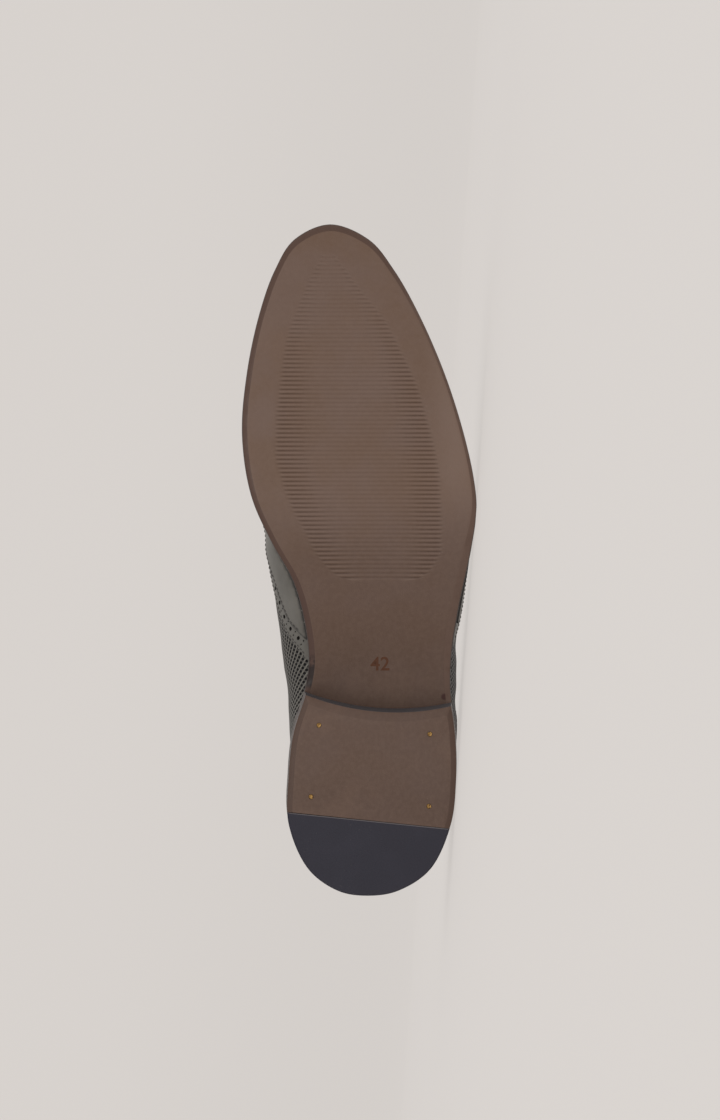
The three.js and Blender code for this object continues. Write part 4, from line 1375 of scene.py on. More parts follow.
class EdgeStain(Finish):
    """Dark wax-stained leather edge of the sole, welt and heel."""

    name = "edge stain"
    rough = 0.42
    coat = 0.12
    base = paint(72, 55, 47)
    dark = paint(50, 38, 34)
    pale = paint(98, 81, 72)

    def dress(self) -> None:
        """Fibre lines along the edge, wax patches and a paler tone where the tone field is raised."""
        g = self.graph
        spot = g.field("spot", True)
        fibre = g.noise(g.stretch(spot, (0.12, 0.12, 2.4)), 1.0, 4)
        colour = g.blend(g.span(fibre, 0.35, 0.7), self.dark, self.base)
        light = g.span(g.field("tone"), 0.0, 1.0)
        colour = g.blend(light, colour, self.pale)
        patch = g.noise(spot, 0.12, 4)
        colour = g.blend(g.span(patch, 0.5, 0.75, 0.0, 0.3), colour, self.dark)
        self.colour(colour)
        self.roughness(g.span(patch, 0.3, 0.7, 0.36, 0.55))
        self.bump(fibre, 0.08)


class SmoothLeather(Finish):
    """Grey calf of the wings, counter and facings: fine grain and a soft polish."""

    name = "smooth leather"
    rough = 0.42
    coat = 0.1
    specular = 0.3
    base = paint(100, 97, 91)
    deep = paint(79, 77, 73)
    pale = paint(118, 115, 109)

    def dress(self) -> None:
        """Grain, cloudy polish, and darker cut edges, which along the cap's rim also carry painted shade.
        """
        g = self.graph
        spot = g.field("spot", True)
        grain = g.use(self.effects.grain, place=spot, scale=2.0)
        cloud = g.noise(spot, 0.035, 4)
        colour = g.blend(g.span(cloud, 0.35, 0.68), self.base, self.pale)
        colour = g.blend(g.times(grain.outputs["Mottle"], 0.3), colour, self.deep)
        # The tone gives the dark cut edges, and painted shade along the cap's rim.
        colour = g.blend(g.span(g.field("tone"), 0.0, 1.0), colour, CUT_LEATHER)
        self.colour(colour)
        self.roughness(g.span(cloud, 0.3, 0.7, 0.36, 0.5))
        self.bump(grain.outputs["Height"], 0.05)


class HoleShadeSheet(Finish):
    """A near-black sheet that shows through the punched holes: painted shade in the holes."""

    name = "hole_shade_sheet"
    rough = 0.85
    specular = 0.1
    base = paint(20, 19, 18)
    fibre = paint(34, 32, 30)

    def dress(self) -> None:
        """Short fibres."""
        g = self.graph
        fibres = g.noise(g.field("spot", True), 3.0, 4, 0.7)
        self.colour(g.blend(g.span(fibres, 0.45, 0.7), self.base, self.fibre))
        self.bump(fibres, 0.06)


class WovenLeather(Finish):
    """Leather embossed with a slanting net: light raised strands round dark pits."""

    name = "woven leather"
    rough = 0.45
    specular = 0.22
    pitch = 1.85
    slant = math.radians(25.5)
    strand = paint(119, 115, 108)
    low_strand = paint(78, 75, 71)
    # The pits' colour is painted shade in the embossed hollows.
    pit = paint(10, 10, 9)
    # The colour of painted shade on the outer side, from behind the ball to the heel.
    rubbed = paint(52, 52, 53)

    def dress(self) -> None:
        """Strands that pass over and under each other, painted lighter over and darker under, with a pit of
        painted shade in every gap, and painted shade on the outer side.
        """
        g = self.graph
        lay = g.field("lay", True)
        turned = g.stretch(lay, (1, 1, 1), self.slant)
        a, b, _ = g.axes(turned)
        wave = math.pi / self.pitch
        across = g.math("ABSOLUTE", g.math("SINE", g.times(a, wave)))
        down = g.math("ABSOLUTE", g.math("SINE", g.times(b, wave)))
        hollow = g.times(across, down)
        over = g.times(g.math("SINE", g.times(g.math("ADD", a, b), wave)),
                      g.math("SINE", g.times(g.math("SUBTRACT", a, b), wave)))
        # Painted light: strands are painted lighter where they pass over and darker where they pass under.
        colour = g.blend(g.span(over, -0.6, 0.6), self.low_strand, self.strand)
        spot = g.field("spot", True)
        cloud = g.noise(spot, 0.04, 4)
        colour = g.blend(g.span(cloud, 0.4, 0.75, 0.0, 0.3), colour, self.low_strand)
        x, y, _ = g.axes(spot)
        # Painted shade: the net is darkened on the outer side, from behind the ball back to the heel, the
        # more the further out it lies.
        waist = g.times(g.span(x, 200.0, 170.0), g.span(y, 16.0, 32.0, 0.0, 0.7))
        colour = g.blend(waist, colour, self.rubbed)
        # Painted shade: the pits are painted near-black.
        pit = g.span(hollow, 0.34, 0.56)
        colour = g.blend(pit, colour, self.pit)
        colour = g.blend(g.span(g.field("tone"), 0.0, 1.0), colour, CUT_LEATHER)
        self.colour(colour)
        fine = g.use(self.effects.grain, place=spot, scale=3.0)
        height = g.scaled(over, 0.18, g.math("SUBTRACT", 1.0, g.math("POWER", hollow, 1.6)))
        total = g.scaled(fine.outputs["Height"], 0.1, height)
        self.roughness(g.span(pit, 0.0, 1.0, 0.42, 0.8))
        self.bump(total, 0.35)


class Lining(Finish):
    """Dark blue-grey lining leather with a dull grain."""

    name = "lining"
    rough = 0.7
    base = paint(62, 62, 72)
    worn = paint(84, 83, 90)

    def dress(self) -> None:
        """Grain and slightly rubbed patches."""
        g = self.graph
        spot = g.field("spot", True)
        grain = g.use(self.effects.grain, place=spot, scale=1.6)
        rub = g.noise(spot, 0.05, 4)
        colour = g.blend(g.span(rub, 0.45, 0.75, 0.0, 0.6), self.base, self.worn)
        self.colour(colour)
        self.bump(grain.outputs["Height"], 0.06)


class Insock(Finish):
    """Tan insole leather."""

    name = "insock"
    rough = 0.6
    base = paint(128, 102, 78)
    dark = paint(92, 72, 56)

    def dress(self) -> None:
        """Grain and soft darkening."""
        g = self.graph
        spot = g.field("spot", True)
        grain = g.use(self.effects.grain, place=spot, scale=1.5)
        worn = g.noise(spot, 0.03, 4)
        colour = g.blend(g.span(worn, 0.4, 0.7), self.base, self.dark)
        self.colour(colour)
        self.bump(grain.outputs["Height"], 0.05)


class Rubber(Finish):
    """Navy rubber of the top piece: finely pitted and dusty."""

    name = "top piece rubber"
    rough = 0.6
    base = paint(33, 32, 45)
    pale = paint(42, 41, 54)
    speck = paint(110, 104, 100)
    joint = paint(108, 102, 104)

    def dress(self) -> None:
        """Fine pits, dull patches and dust."""
        g = self.graph
        spot = g.field("spot", True)
        fine = g.noise(spot, 2.2, 4, 0.7)
        patch = g.noise(spot, 0.06, 4)
        colour = g.blend(g.span(patch, 0.4, 0.72, 0.0, 0.35), self.base, self.pale)
        dust = g.use(self.effects.dust, place=spot, amount=0.5)
        colour = g.blend(dust.outputs["Specks"], colour, self.speck)
        colour = g.blend(g.span(g.field("tone"), 0.0, 1.0), colour, self.joint)
        self.colour(colour)
        self.roughness(g.span(fine, 0.3, 0.7, 0.5, 0.7))
        self.bump(fine, 0.08)


class NailBrass(Finish):
    """Brass of the nail heads, dulled and scratched."""

    name = "nail brass"
    rough = 0.38
    metal = 0.5
    base = paint(150, 116, 62)
    dark = paint(84, 56, 30)

    def dress(self) -> None:
        """Tarnish and fine scratches."""
        g = self.graph
        spot = g.field("spot", True)
        tarnish = g.noise(spot, 1.4, 4)
        colour = g.blend(g.span(tarnish, 0.42, 0.68), self.base, self.dark)
        self.colour(colour)
        self.roughness(g.span(tarnish, 0.4, 0.7, 0.3, 0.6))
        self.bump(tarnish, 0.05)


class LaceCotton(Finish):
    """Waxed cotton lace: a close diagonal braid."""

    name = "lace cotton"
    rough = 0.65
    braid = 4.6
    base = paint(74, 72, 76)
    dark = paint(38, 37, 40)
    fuzz = paint(110, 108, 110)

    def dress(self) -> None:
        """Strands that cross on the slant, painted darker between them as shade."""
        g = self.graph
        lay = g.field("lay", True)
        a, b, _ = g.axes(lay)
        left = g.math("SINE", g.times(g.math("ADD", a, b), self.braid))
        right = g.math("SINE", g.times(g.math("SUBTRACT", a, b), self.braid))
        height = g.math("ABSOLUTE", g.times(left, right))
        # Painted shade: the braid is painted darker between its strands.
        colour = g.blend(g.span(height, 0.05, 0.5), self.dark, self.base)
        fuzz = g.noise(g.field("spot", True), 1.5, 3)
        colour = g.blend(g.span(fuzz, 0.5, 0.8, 0.0, 0.3), colour, self.fuzz)
        self.colour(colour)
        self.bump(height, 0.22)


class Thread(Finish):
    """Twisted sewing thread."""

    name = "thread"
    rough = 0.6
    base = paint(88, 84, 80)
    dark = paint(52, 49, 47)

    def dress(self) -> None:
        """A fine twist."""
        g = self.graph
        spot = g.field("spot", True)
        twist = g.noise(g.stretch(spot, (3, 3, 3)), 1.0, 3)
        self.colour(g.blend(g.span(twist, 0.35, 0.65), self.dark, self.base))
        self.bump(twist, 0.08)


class WeltThread(Thread):
    """Heavier brown thread of the welt."""

    name = "welt thread"
    base = paint(126, 104, 84)
    dark = paint(82, 64, 52)


class SizeStain(Finish):
    """Red-brown stain of the size number."""

    name = "size stain"
    rough = 0.7
    base = paint(88, 52, 31)
    dark = paint(76, 46, 28)

    def dress(self) -> None:
        """Uneven stain with worn specks."""
        g = self.graph
        spot = g.field("spot", True)
        worn = g.noise(spot, 1.6, 4, 0.7)
        self.colour(g.blend(g.span(worn, 0.4, 0.7), self.base, self.dark))
        self.bump(worn, 0.05)


class FloorPaint(Finish):
    """Plain pale studio floor and backdrop."""

    name = "floor paint"
    rough = 0.9
    specular = 0.1
    base = paint(112, 110, 108)
    shade = paint(110, 108, 106)
    glow = paint(214, 209, 205)
    glow_shade = paint(213, 208, 204)
    floor_glow = paint(209, 204, 200)
    glow_strength = 0.86
    wall_from = 0.6

    def dress(self) -> None:
        """Hardly visible clouding, and an even glow that keeps it pale."""
        g = self.graph
        made = g.node("ShaderNodeTexCoord")
        cloud = g.noise(made.outputs["Object"], 1.2, 2)
        self.colour(g.blend(cloud, self.base, self.shade))
        wall = g.blend(cloud, self.glow, self.glow_shade)
        height = g.axes(made.outputs["Object"])[2]
        glow = g.blend(g.span(height, 0.0, self.wall_from), self.floor_glow, wall)
        g.feed(self.shader.inputs["Emission Color"], glow)
        self.shader.inputs["Emission Strength"].default_value = self.glow_strength


class Finishes:
    """Every finish, built once."""

    def __init__(self) -> None:
        """Builds the shared effects, then each finish."""
        effects = Effects()
        self.sole = SoleLeather(effects).material
        self.bevel = BevelStain(effects).material
        self.edge = EdgeStain(effects).material
        self.breast = BreastPaint(effects).material
        self.hole_shade_sheet = HoleShadeSheet(effects).material
        self.smooth = SmoothLeather(effects).material
        self.woven = WovenLeather(effects).material
        self.lining = Lining(effects).material
        self.insock = Insock(effects).material
        self.rubber = Rubber(effects).material
        self.brass = NailBrass(effects).material
        self.lace = LaceCotton(effects).material
        self.thread = Thread(effects).material
        self.welt_thread = WeltThread(effects).material
        self.size_stain = SizeStain(effects).material
        self.floor = FloorPaint(effects).material


@dataclass
class Bench:
    """What every sub-assembly needs to be built: the last, where the shoe lies, and the finishes."""

    last: Last
    lying: Lying
    finishes: Finishes

    def piece(
        self,
        form: Form,
        name: str,
        finishes: Sequence[bpy.types.Material],
        slot: str,
        *nodes: str,
        merge: float = SHARED_POINT,
        corner: float = CORNER_ANGLE,
    ) -> None:
        """Makes a visible piece and ties it to the shoe.

        Args:
            form: The finished form.
            name: The piece's name.
            finishes: The materials of the form's slots.
            slot: The record's material slot; not used.
            nodes: The CAD nodes that it stands for.
            merge: Points closer than this, in millimetres, become one.
            corner: Edges sharper than this angle stay crisp.
        """
        piece = form.make(name, self.lying, finishes, merge, corner)
        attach(piece, BODY)
        if nodes:
            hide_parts(*nodes)
        log.info("%s: %d faces", piece.name, len(piece.data.polygons))

    def sewing(self, stitches: Form, name: str, slot: str) -> None:
        """Makes a piece of sewing thread."""
        self.piece(stitches, name, [self.finishes.thread], slot)


@dataclass
class Assembly:
    """A sub-assembly of the shoe, built at the bench."""

    bench: Bench

    def tools(self) -> tuple[Bench, Last, Sizes]:
        """The bench, its last and the shoe's sizes."""
        return self.bench, self.bench.last, self.bench.last.sizes


class Seam:
    """A row of stitches along a line on the leather.

    The shape of a stitch goes from end to end: place along it, thickness and lift off the leather.
    """

    SIDES = 6
    SHAPE = (
        (-0.5, 0.25, -0.5), (-0.36, 0.85, 0.0), (0.0, 1.0, 0.35), (0.36, 0.85, 0.0), (0.5, 0.25, -0.5),
    )

    @classmethod
    def sew(
        cls,
        form: Form,
        line: np.ndarray,
        normals: np.ndarray,
        pitch: float = 2.1,
        radius: float = 0.27,
        fill: float = 0.74,
    ) -> None:
        """Adds the stitches to a form.

        Args:
            form: The form that they go to.
            line: Places along the seam, at the leather's face.
            normals: The leather's normals there.
            pitch: Distance from stitch to stitch.
            radius: Half the thread's thickness.
            fill: Share of the pitch that a stitch covers.
        """
        sides = cls.SIDES
        end = (len(cls.SHAPE) - 1) * sides
        faces = [
            (r + c, r + (c + 1) % sides, r + sides + (c + 1) % sides, r + sides + c)
            for r in range(0, end, sides) for c in range(sides)
        ]
        faces += [tuple(reversed(range(sides))), tuple(range(end, end + sides))]
        angle = np.arange(sides) * 2 * math.pi / sides
        reach = np.array([step for step, _, _ in cls.SHAPE])
        along = run_of(line)
        for number in range(int(along[-1] / pitch)):
            middle = (number + 0.5) * pitch
            spine = read_line(line, along, middle + reach * pitch * fill)
            up = unit(read_line(normals, along, np.array([middle]))[0])
            across = unit(np.cross(up, unit(spine[-1] - spine[0])))
            ring = np.outer(np.cos(angle), across) + np.outer(np.sin(angle), up)
            rings = [p + up * radius * lift + radius * size * ring
                     for (_, size, lift), p in zip(cls.SHAPE, spine)]
            form.add(np.array(rings), faces)


@dataclass
class Outsole(Assembly):
    """The leather outsole, with ribs across its tread, a bevelled edge and the size number."""

    rib_pitch: float = 1.96
    rib_depth: float = 0.42
    rib_steps: int = 8
    plain_step: float = 1.3
    columns: int = 78
    rib_taper: float = 1.9
    tip_rows: int = 30
    heel_reach: float = 6.0
    top_inset: float = 0.25
    bevel_share: float = 0.88
    bevel_end_inner: float = 94.0
    bevel_end_outer: float = 87.0
    bevel_fade: float = 3.0
    number: str = "42"
    number_size: float = 8.832
    number_swell: float = 0.12
    number_sunk: float = 0.06
    number_spot: tuple[float, float] = (103.7, 9.2)
    zone: Table = field(default_factory=lambda: Table("x inner outer", (
        (141.5, 2.0, 18.0), (142.9, -8.0, 27.0), (146.6, -14.0, 32.3), (151.9, -19.0, 36.0),
        (155.6, -21.5, 37.6), (165.0, -26.2, 37.6), (175.0, -31.6, 37.4), (189.0, -36.6, 36.6),
        (199.7, -38.7, 34.8), (214.6, -38.3, 31.0), (229.4, -36.8, 26.6), (244.3, -34.9, 19.8),
        (251.7, -33.6, 16.2), (259.2, -31.0, 12.2), (266.6, -28.2, 6.6), (274.1, -25.4, 0.4),
        (281.5, -21.8, -4.6), (286.3, -19.2, -8.6), (290.5, -17.5, -11.5),
    )))

    def at_edge(self, q: np.ndarray, inset: np.ndarray | float) -> np.ndarray:
        """Places an inset inside the edge.

        Args:
            q: Where on the edge: -3 at the heel back, over the inner side to 0 at the toe, to 3.
            inset: How far inside the edge.

        Returns:
            Places of the plan.
        """
        last = self.bench.last
        inner = last.inside_edge(INNER, np.maximum(-q, 0), inset)
        outer = last.inside_edge(OUTER, np.maximum(q, 0), inset)
        return np.where((q < 0)[:, None], inner, outer)

    def along(self, q: np.ndarray) -> np.ndarray:
        """How far along the shoe each place of the edge is."""
        last = self.bench.last
        return np.where(q < 0, last.x_at(INNER, np.maximum(-q, 0)), last.x_at(OUTER, np.maximum(q, 0)))

    def bevel(self, q: np.ndarray) -> np.ndarray:
        """Width of the bevel round the edge.

        Args:
            q: Places on the edge.

        Returns:
            The width at each place.
        """
        s = self.bench.last.sizes
        at = self.along(q) / s.length
        share = np.where(q < 0, BEVELS.read("inner", at), BEVELS.read("outer", at))
        return self.bevel_share * s.bevel_width * share

    def ends(self) -> tuple[float, float]:
        """Where on the edge the bevel line's toe tip and heel back lie.

        Returns:
            The places of the tip and of the heel back.
        """
        q = np.linspace(-3, 3, 6001)
        x = self.at_edge(q, self.bevel(q))[:, 0]
        return float(q[np.argmax(x)]), float(q[np.argmin(x)])

    def run(self, side: int) -> tuple[np.ndarray, np.ndarray]:
        """One half of the bevel line, from the toe tip to the heel back.

        Args:
            side: INNER or OUTER.

        Returns:
            Its places on the edge, and how far along the shoe they are.
        """
        tip, back = self.ends()
        outer_back = back if back > tip else back + 6
        end = outer_back if side > 0 else outer_back - 6
        q = tip + (end - tip) * (0.5 - 0.5 * np.cos(np.linspace(0, math.pi, 4000)))
        q = (q + 3) % 6 - 3
        return q, np.minimum.accumulate(self.at_edge(q, self.bevel(q))[:, 0])

    def rows(self, tip: float, back: float) -> np.ndarray:
        """Where the sole's rows lie, from the toe tip to the heel back.

        Args:
            tip: How far along the shoe the toe tip is.
            back: How far along it the heel back is.

        Returns:
            How far along the shoe each row is.
        """
        low, high = self.zone.place[0] - 1, self.zone.place[-1] + 1
        turn = np.sin(np.linspace(0, math.pi / 2, self.tip_rows))
        toe = high + (tip - high) * turn
        ribs = np.arange(low, high, self.rib_pitch / self.rib_steps)
        plain = np.arange(back + self.heel_reach, low, self.plain_step)
        heel = back + self.heel_reach * (1 - turn)
        return np.unique(np.concatenate([toe, ribs, plain, heel]))[::-1]

    def ribs(self, x: np.ndarray, y: np.ndarray) -> tuple[np.ndarray, np.ndarray]:
        """Depth of the ribs' grooves, and the tone from groove to crest.

        Args:
            x: Places along the shoe.
            y: Places across it.

        Returns:
            The depth at each place, and 0 in a groove to 1 on a crest.
        """
        inner = self.zone.read("inner", x)
        outer = self.zone.read("outer", x)
        low, high = self.zone.place[0], self.zone.place[-1]
        side = np.minimum(y - inner, outer - y)
        ends = np.minimum((x - low) * 2.2, (high - x) * 1.2)
        inside = ease(np.minimum(side, ends) / self.rib_taper)
        share = (y - inner) / np.maximum(outer - inner, 1)
        edge = np.abs(share - 0.5) * 2
        worn = 0.42 + 0.58 * ease((edge - 0.35) / 0.55)
        toe = 1 - 0.35 * ease((x - 225) / 50)
        strength = inside * worn * toe
        wave = 0.5 - 0.5 * np.cos(2 * math.pi * (x - low) / self.rib_pitch)
        groove = 1 - wave ** 0.6
        return self.rib_depth * strength * groove, 0.5 + strength * (0.5 - groove)

    def build(self) -> None:
        """Builds the sole and its number."""
        bench, last, s = self.tools()
        runs = {side: self.run(side) for side in SIDES}
        rows = self.rows(float(runs[INNER][1][0]), float(runs[INNER][1][-1]))
        places = {}
        for side, (q, along) in runs.items():
            turns = np.unwrap(q, period=6)
            places[side] = (np.interp(rows, along[::-1], turns[::-1]) + 3) % 6 - 3
        line = {side: self.at_edge(q, self.bevel(q)) for side, q in places.items()}
        t = np.linspace(0, 1, self.columns + 1)[None]
        y = mix(line[INNER][:, 1:], line[OUTER][:, 1:], t)
        x = mix(line[INNER][:, :1], line[OUTER][:, :1], t)
        depth, tone = self.ribs(x, y)
        form = Form()
        form.grid(last.above(np.stack([x, y], -1), depth), 0, tone=tone)
        for side in SIDES:
            self.edge(form, side, places[side])
        inner, outer = (self.at_edge(places[side], self.top_inset) for side in (INNER, OUTER))
        top = np.stack([mix(inner, outer, u) for u in np.linspace(0, 1, 13)], 1)
        form.grid(last.above(top, s.sole_thickness), 2, flip=True)
        kinds = [bench.finishes.sole, bench.finishes.bevel, bench.finishes.edge]
        bench.piece(form, "outsole_leather", kinds, "sole_leather", "outsole")
        self.stamp()

    def edge(self, form: Form, side: int, q: np.ndarray) -> None:
        """Adds one half of the bevel under the edge, and of the edge itself.

        Args:
            form: The form that they go to.
            side: The half.
            q: Its places on the edge.
        """
        _, last, s = self.tools()
        width = self.bevel(q)
        x = self.along(q)
        kept = self.kept(q, x)
        depth = s.bevel_depth * mix(0.15, 1.0, kept)
        # Painted light: the tone lifts the bevel towards the face's colour, most on the outer side; behind
        # the bevel's end it is the face's colour.
        light = mix(1.0, self.bevel_painted_light(q, x / s.length), kept)
        under = [(width, 0.0), (0.66 * width, 0.26 * depth), (0.33 * width, 0.6 * depth),
                 (0.1 * width, 0.93 * depth)]
        upright = [under[-1], (0.0, depth + 0.35), (-0.08, 2.4), (0.0, s.sole_thickness - 0.4),
                   (self.top_inset, s.sole_thickness)]
        for profile, slot, tone in ((under, 1, light[:, None]), (upright, 2, 0.0)):
            points = np.stack([last.above(self.at_edge(q, inset), rise) for inset, rise in profile], 1)
            form.grid(points, slot, tone=tone, flip=side > 0)

    def kept(self, q: np.ndarray, x: np.ndarray) -> np.ndarray:
        """1 where the edge is bevelled, and 0 behind the bevel's rounded end at the heel."""
        end = np.where(q < 0, self.bevel_end_inner, self.bevel_end_outer)
        return ease((x - end) / self.bevel_fade)

    def bevel_painted_light(self, q: np.ndarray, at: np.ndarray) -> np.ndarray:
        """Painted light on the bevel: how close its colour is painted to the sole's face, lighter on the
        outer side than on the inner side and round the toe.

        Args:
            q: Places on the edge.
            at: How far along the shoe they are, as a share of its length.

        Returns:
            0 for the bevel's own colour to 1 for the face's.
        """
        inner = 0.12 + 0.1 * ease((at - 0.5) / 0.3)
        outer = 0.3 + 0.43 * ease((at - 0.26) / 0.06) * ease((0.96 - at) / 0.12)
        toe = ease((at - 0.86) / 0.12)
        return np.where(q < 0, inner, mix(outer, inner, toe))

    def stamp(self) -> None:
        """Presses the size number into the waist."""
        bench, last, _ = self.tools()
        curve = bpy.data.curves.new("size_number", "FONT")
        curve.body = self.number
        curve.size = self.number_size
        curve.align_x = "CENTER"
        curve.align_y = "CENTER"
        curve.resolution_u = 6
        curve.offset = self.number_swell
        text = bpy.data.objects.new("size_number_text", curve)
        bpy.context.scene.collection.objects.link(text)
        bpy.context.view_layer.update()
        drawn = text.to_mesh()
        flat = np.array([v.co[:] for v in drawn.vertices])
        faces = [tuple(p.vertices) for p in drawn.polygons]
        text.to_mesh_clear()
        bpy.data.objects.remove(text)
        plan = np.column_stack([self.number_spot[0] + flat[:, 1], self.number_spot[1] + flat[:, 0]])
        form = Form()
        form.add(last.above(plan, -self.number_sunk), faces)
        bench.piece(form, "size_number", [bench.finishes.size_stain], "sole_leather", merge=0.001)


@dataclass
class Welt(Assembly):
    """The strip between sole and upper, with its stitches."""

    stitch_pitch: float = 3.0
    stitch_inset: float = 1.7
    sewn_from: float = 0.5
    thread: float = 0.42
    round_over: float = 0.35

    def build(self) -> None:
        """Builds the strip and sews it round."""
        bench, last, s = self.tools()
        form = Form()
        stitches = Form()
        for side in SIDES:
            k = np.linspace(0, 3, 320)
            _, feather = last.insets(side, k)
            inside = feather + s.welt_reach
            low = s.sole_thickness + s.clearance
            high = low + s.welt_thickness
            edge = s.welt_inset
            profile = (
                (inside, low), (edge, low), (edge, high - self.round_over), (edge + 0.15, high - 0.1),
                (edge + self.round_over + 0.1, high), (inside, high), (inside, low),
            )
            form.grid(last.strip(side, k, profile), 0, flip=side > 0, tone=0.15)
            sewn = k[last.x_at(side, k) > self.sewn_from * s.length]
            line = last.above(last.inside_edge(side, sewn, self.stitch_inset), high)
            upright = np.tile([0.0, 0.0, 1.0], (len(line), 1))
            Seam.sew(stitches, line, upright, self.stitch_pitch, self.thread, 0.7)
        bench.piece(form, "welt_strip", [bench.finishes.edge], "welt_leather", "welt")
        bench.piece(stitches, "welt_stitches", [bench.finishes.welt_thread], "welt_leather")


@dataclass
class Heel(Assembly):
    """The stacked heel with its leather and rubber top piece and four nails."""

    lifts: int = 4
    lift_groove: float = 0.22
    side_steps: int = 60
    across_steps: int = 34
    nail_sides: int = 20
    nail_dish: float = 0.1
    nail_hole: float = 1.2
    side_tone: float = 0.06
    front_tone: float = 0.3
    joint_tone: float = 0.6
    joint_gap: float = 0.08
    rubber_lean: float = 0.45

    def outline(
        self,
        inset: float,
        front: tuple[float, float, float],
        back: tuple[float, float] | None = None,
    ) -> np.ndarray:
        """Plan of a heel piece.

        Args:
            inset: How far inside the sole's edge it stays.
            front: x of its front line at the inner and outer edge, and its hollow.
            back: x of its back line at both edges, or None for the whole heel.

        Returns:
            The closed outline: outer edge, inner edge, then across the front.
        """
        last = self.bench.last
        edges = {}
        for side, n in ((OUTER, 1), (INNER, 0)):
            end = 3.0 if back is None else float(last.k_at(side, back[n]))
            k = np.linspace(float(last.k_at(side, front[n])), end, self.side_steps)
            edges[side] = last.inside_edge(side, k, inset)
        inner = edges[INNER][::-1]
        if back is None:
            inner = inner[1:]
        start, end = inner[-1], edges[OUTER][0]
        t = np.linspace(0, 1, self.across_steps)[1:-1, None]
        across = mix(start, end, t)
        across[:, :1] -= front[2] * 4 * t * (1 - t)
        return np.concatenate([edges[OUTER], inner, across])

    def stack(
        self,
        form: Form,
        outlines: list[np.ndarray],
        side: tuple[int, float],
        front: tuple[int, float],
    ) -> None:
        """Adds the walls between outlines of places.

        Args:
            form: The form that they go to.
            outlines: Closed outlines, each with the same number of places.
            side: The finish and tone of each wall's sides.
            front: The finish and tone of each wall's front.
        """
        across = self.across_steps - 2
        for low, high in zip(outlines, outlines[1:]):
            ring = np.stack([low, high], 1)
            breast = np.concatenate([ring[len(ring) - across - 1:], ring[:1]])
            form.grid(ring[:len(ring) - across], side[0], tone=side[1])
            form.grid(breast, front[0], tone=front[1])

    @staticmethod
    def raised(flat: np.ndarray, height: np.ndarray | float) -> np.ndarray:
        """An outline at a height."""
        return np.column_stack([flat, np.broadcast_to(height, (len(flat),))])

    def face(
        self,
        form: Form,
        outline: np.ndarray,
        height: Callable[[np.ndarray], np.ndarray | float],
        slot: int = 0,
        tone: float = 0.0,
        holes: Sequence[np.ndarray] = (),
        spacing: float = 8.0,
    ) -> None:
        """Fills an outline with a face.

        Args:
            form: The form that it goes to.
            outline: The closed outline.
            height: Gives the face's height at places along the shoe.
            slot: Its finish.
            tone: Its tone.
            holes: Holes that stay open.
            spacing: Distance between the places inside.
        """
        points, faces = cut(outline, list(holes), spacing)
        form.add(self.raised(points, height(points[:, 0])), faces, slot, tone=tone)

    def seat(self, x: np.ndarray) -> np.ndarray:
        """Height of the heel's seat along the shoe.

        Args:
            x: Places along the shoe.

        Returns:
            The height at each place.
        """
        s = self.bench.last.sizes
        middle = (s.breast_inner + s.breast_outer) / 2
        return s.heel_height - s.clearance + s.seat_rise * (middle - x) / middle

    def build_stack(self) -> None:
        """Builds the leather lifts from the top piece to the seat."""
        bench, _, s = self.tools()
        form = Form()
        bottom = s.top_piece + s.clearance
        steps = [
            ((lift + part) / self.lifts, self.lift_groove * groove)
            for lift in range(self.lifts)
            for part, groove in ((0.0, 1.0), (0.08, 0.3), (0.16, 0.0), (0.84, 0.0), (0.92, 0.3))
        ]
        rings = []
        for share, groove in (*steps, (1.0, 0.1)):
            inset = s.heel_taper * (1 - share) + groove
            front = [x + s.breast_slope * share - groove * 0.5 for x in (s.breast_inner, s.breast_outer)]
            flat = self.outline(inset, (*front, s.breast_hollow))
            rings.append(self.raised(flat, mix(bottom, self.seat(flat[:, 0]), share)))
        self.stack(form, rings, (0, 0.0), (1, 0.0))
        self.face(form, rings[0][:, :2], lambda x: bottom, spacing=6.0)
        self.face(form, rings[-1][:, :2], self.seat, spacing=6.0)
        kinds = [bench.finishes.edge, bench.finishes.breast]
        bench.piece(form, "heel_lifts", kinds, "heel_stack_leather", "heel_stack")

    def build_top_piece(self) -> None:
        """Builds the leather front half of the top piece, with its nail holes."""
        bench, _, s = self.tools()
        back = (s.rubber_inner + self.joint_gap, s.rubber_outer + self.joint_gap)
        outlines = []
        for inset, shift in ((s.top_bevel_inner, s.top_bevel_outer),
                             (0.35 * s.top_bevel_inner, 0.35 * s.top_bevel_outer), (0.05, 0.0)):
            front = (s.breast_inner - shift, s.breast_outer - shift, s.breast_hollow)
            outlines.append(self.outline(s.heel_taper + inset, front, back))
        face, half, rim = outlines
        form = Form()
        holes = [self.nail_ring(n, s.nail_radius + 0.1) for n in range(len(NAILS))]
        self.face(form, face, lambda x: 0.0, 0, 0.5, holes, 2.6)
        bevel = [self.raised(face, 0.0), self.raised(half, 0.4 * s.top_bevel_depth),
                 self.raised(rim, s.top_bevel_depth)]
        self.stack(form, bevel, (0, self.side_tone), (0, self.front_tone))
        wall = [self.raised(rim, z) for z in (s.top_bevel_depth, s.top_bevel_depth + 0.3, s.top_piece)]
        self.stack(form, wall, (1, 0.0), (2, 0.0))
        self.face(form, rim, lambda x: s.top_piece, 1)
        for hole in holes:
            floor = self.raised(hole, self.nail_hole)
            form.grid(np.stack([self.raised(hole, 0.0), floor], 1), 1, closed=True)
            form.add(floor, [range(len(hole))], 1)
        kinds = [bench.finishes.sole, bench.finishes.edge, bench.finishes.breast]
        bench.piece(form, "top_piece_leather", kinds, "top_piece_leather", "top_piece")

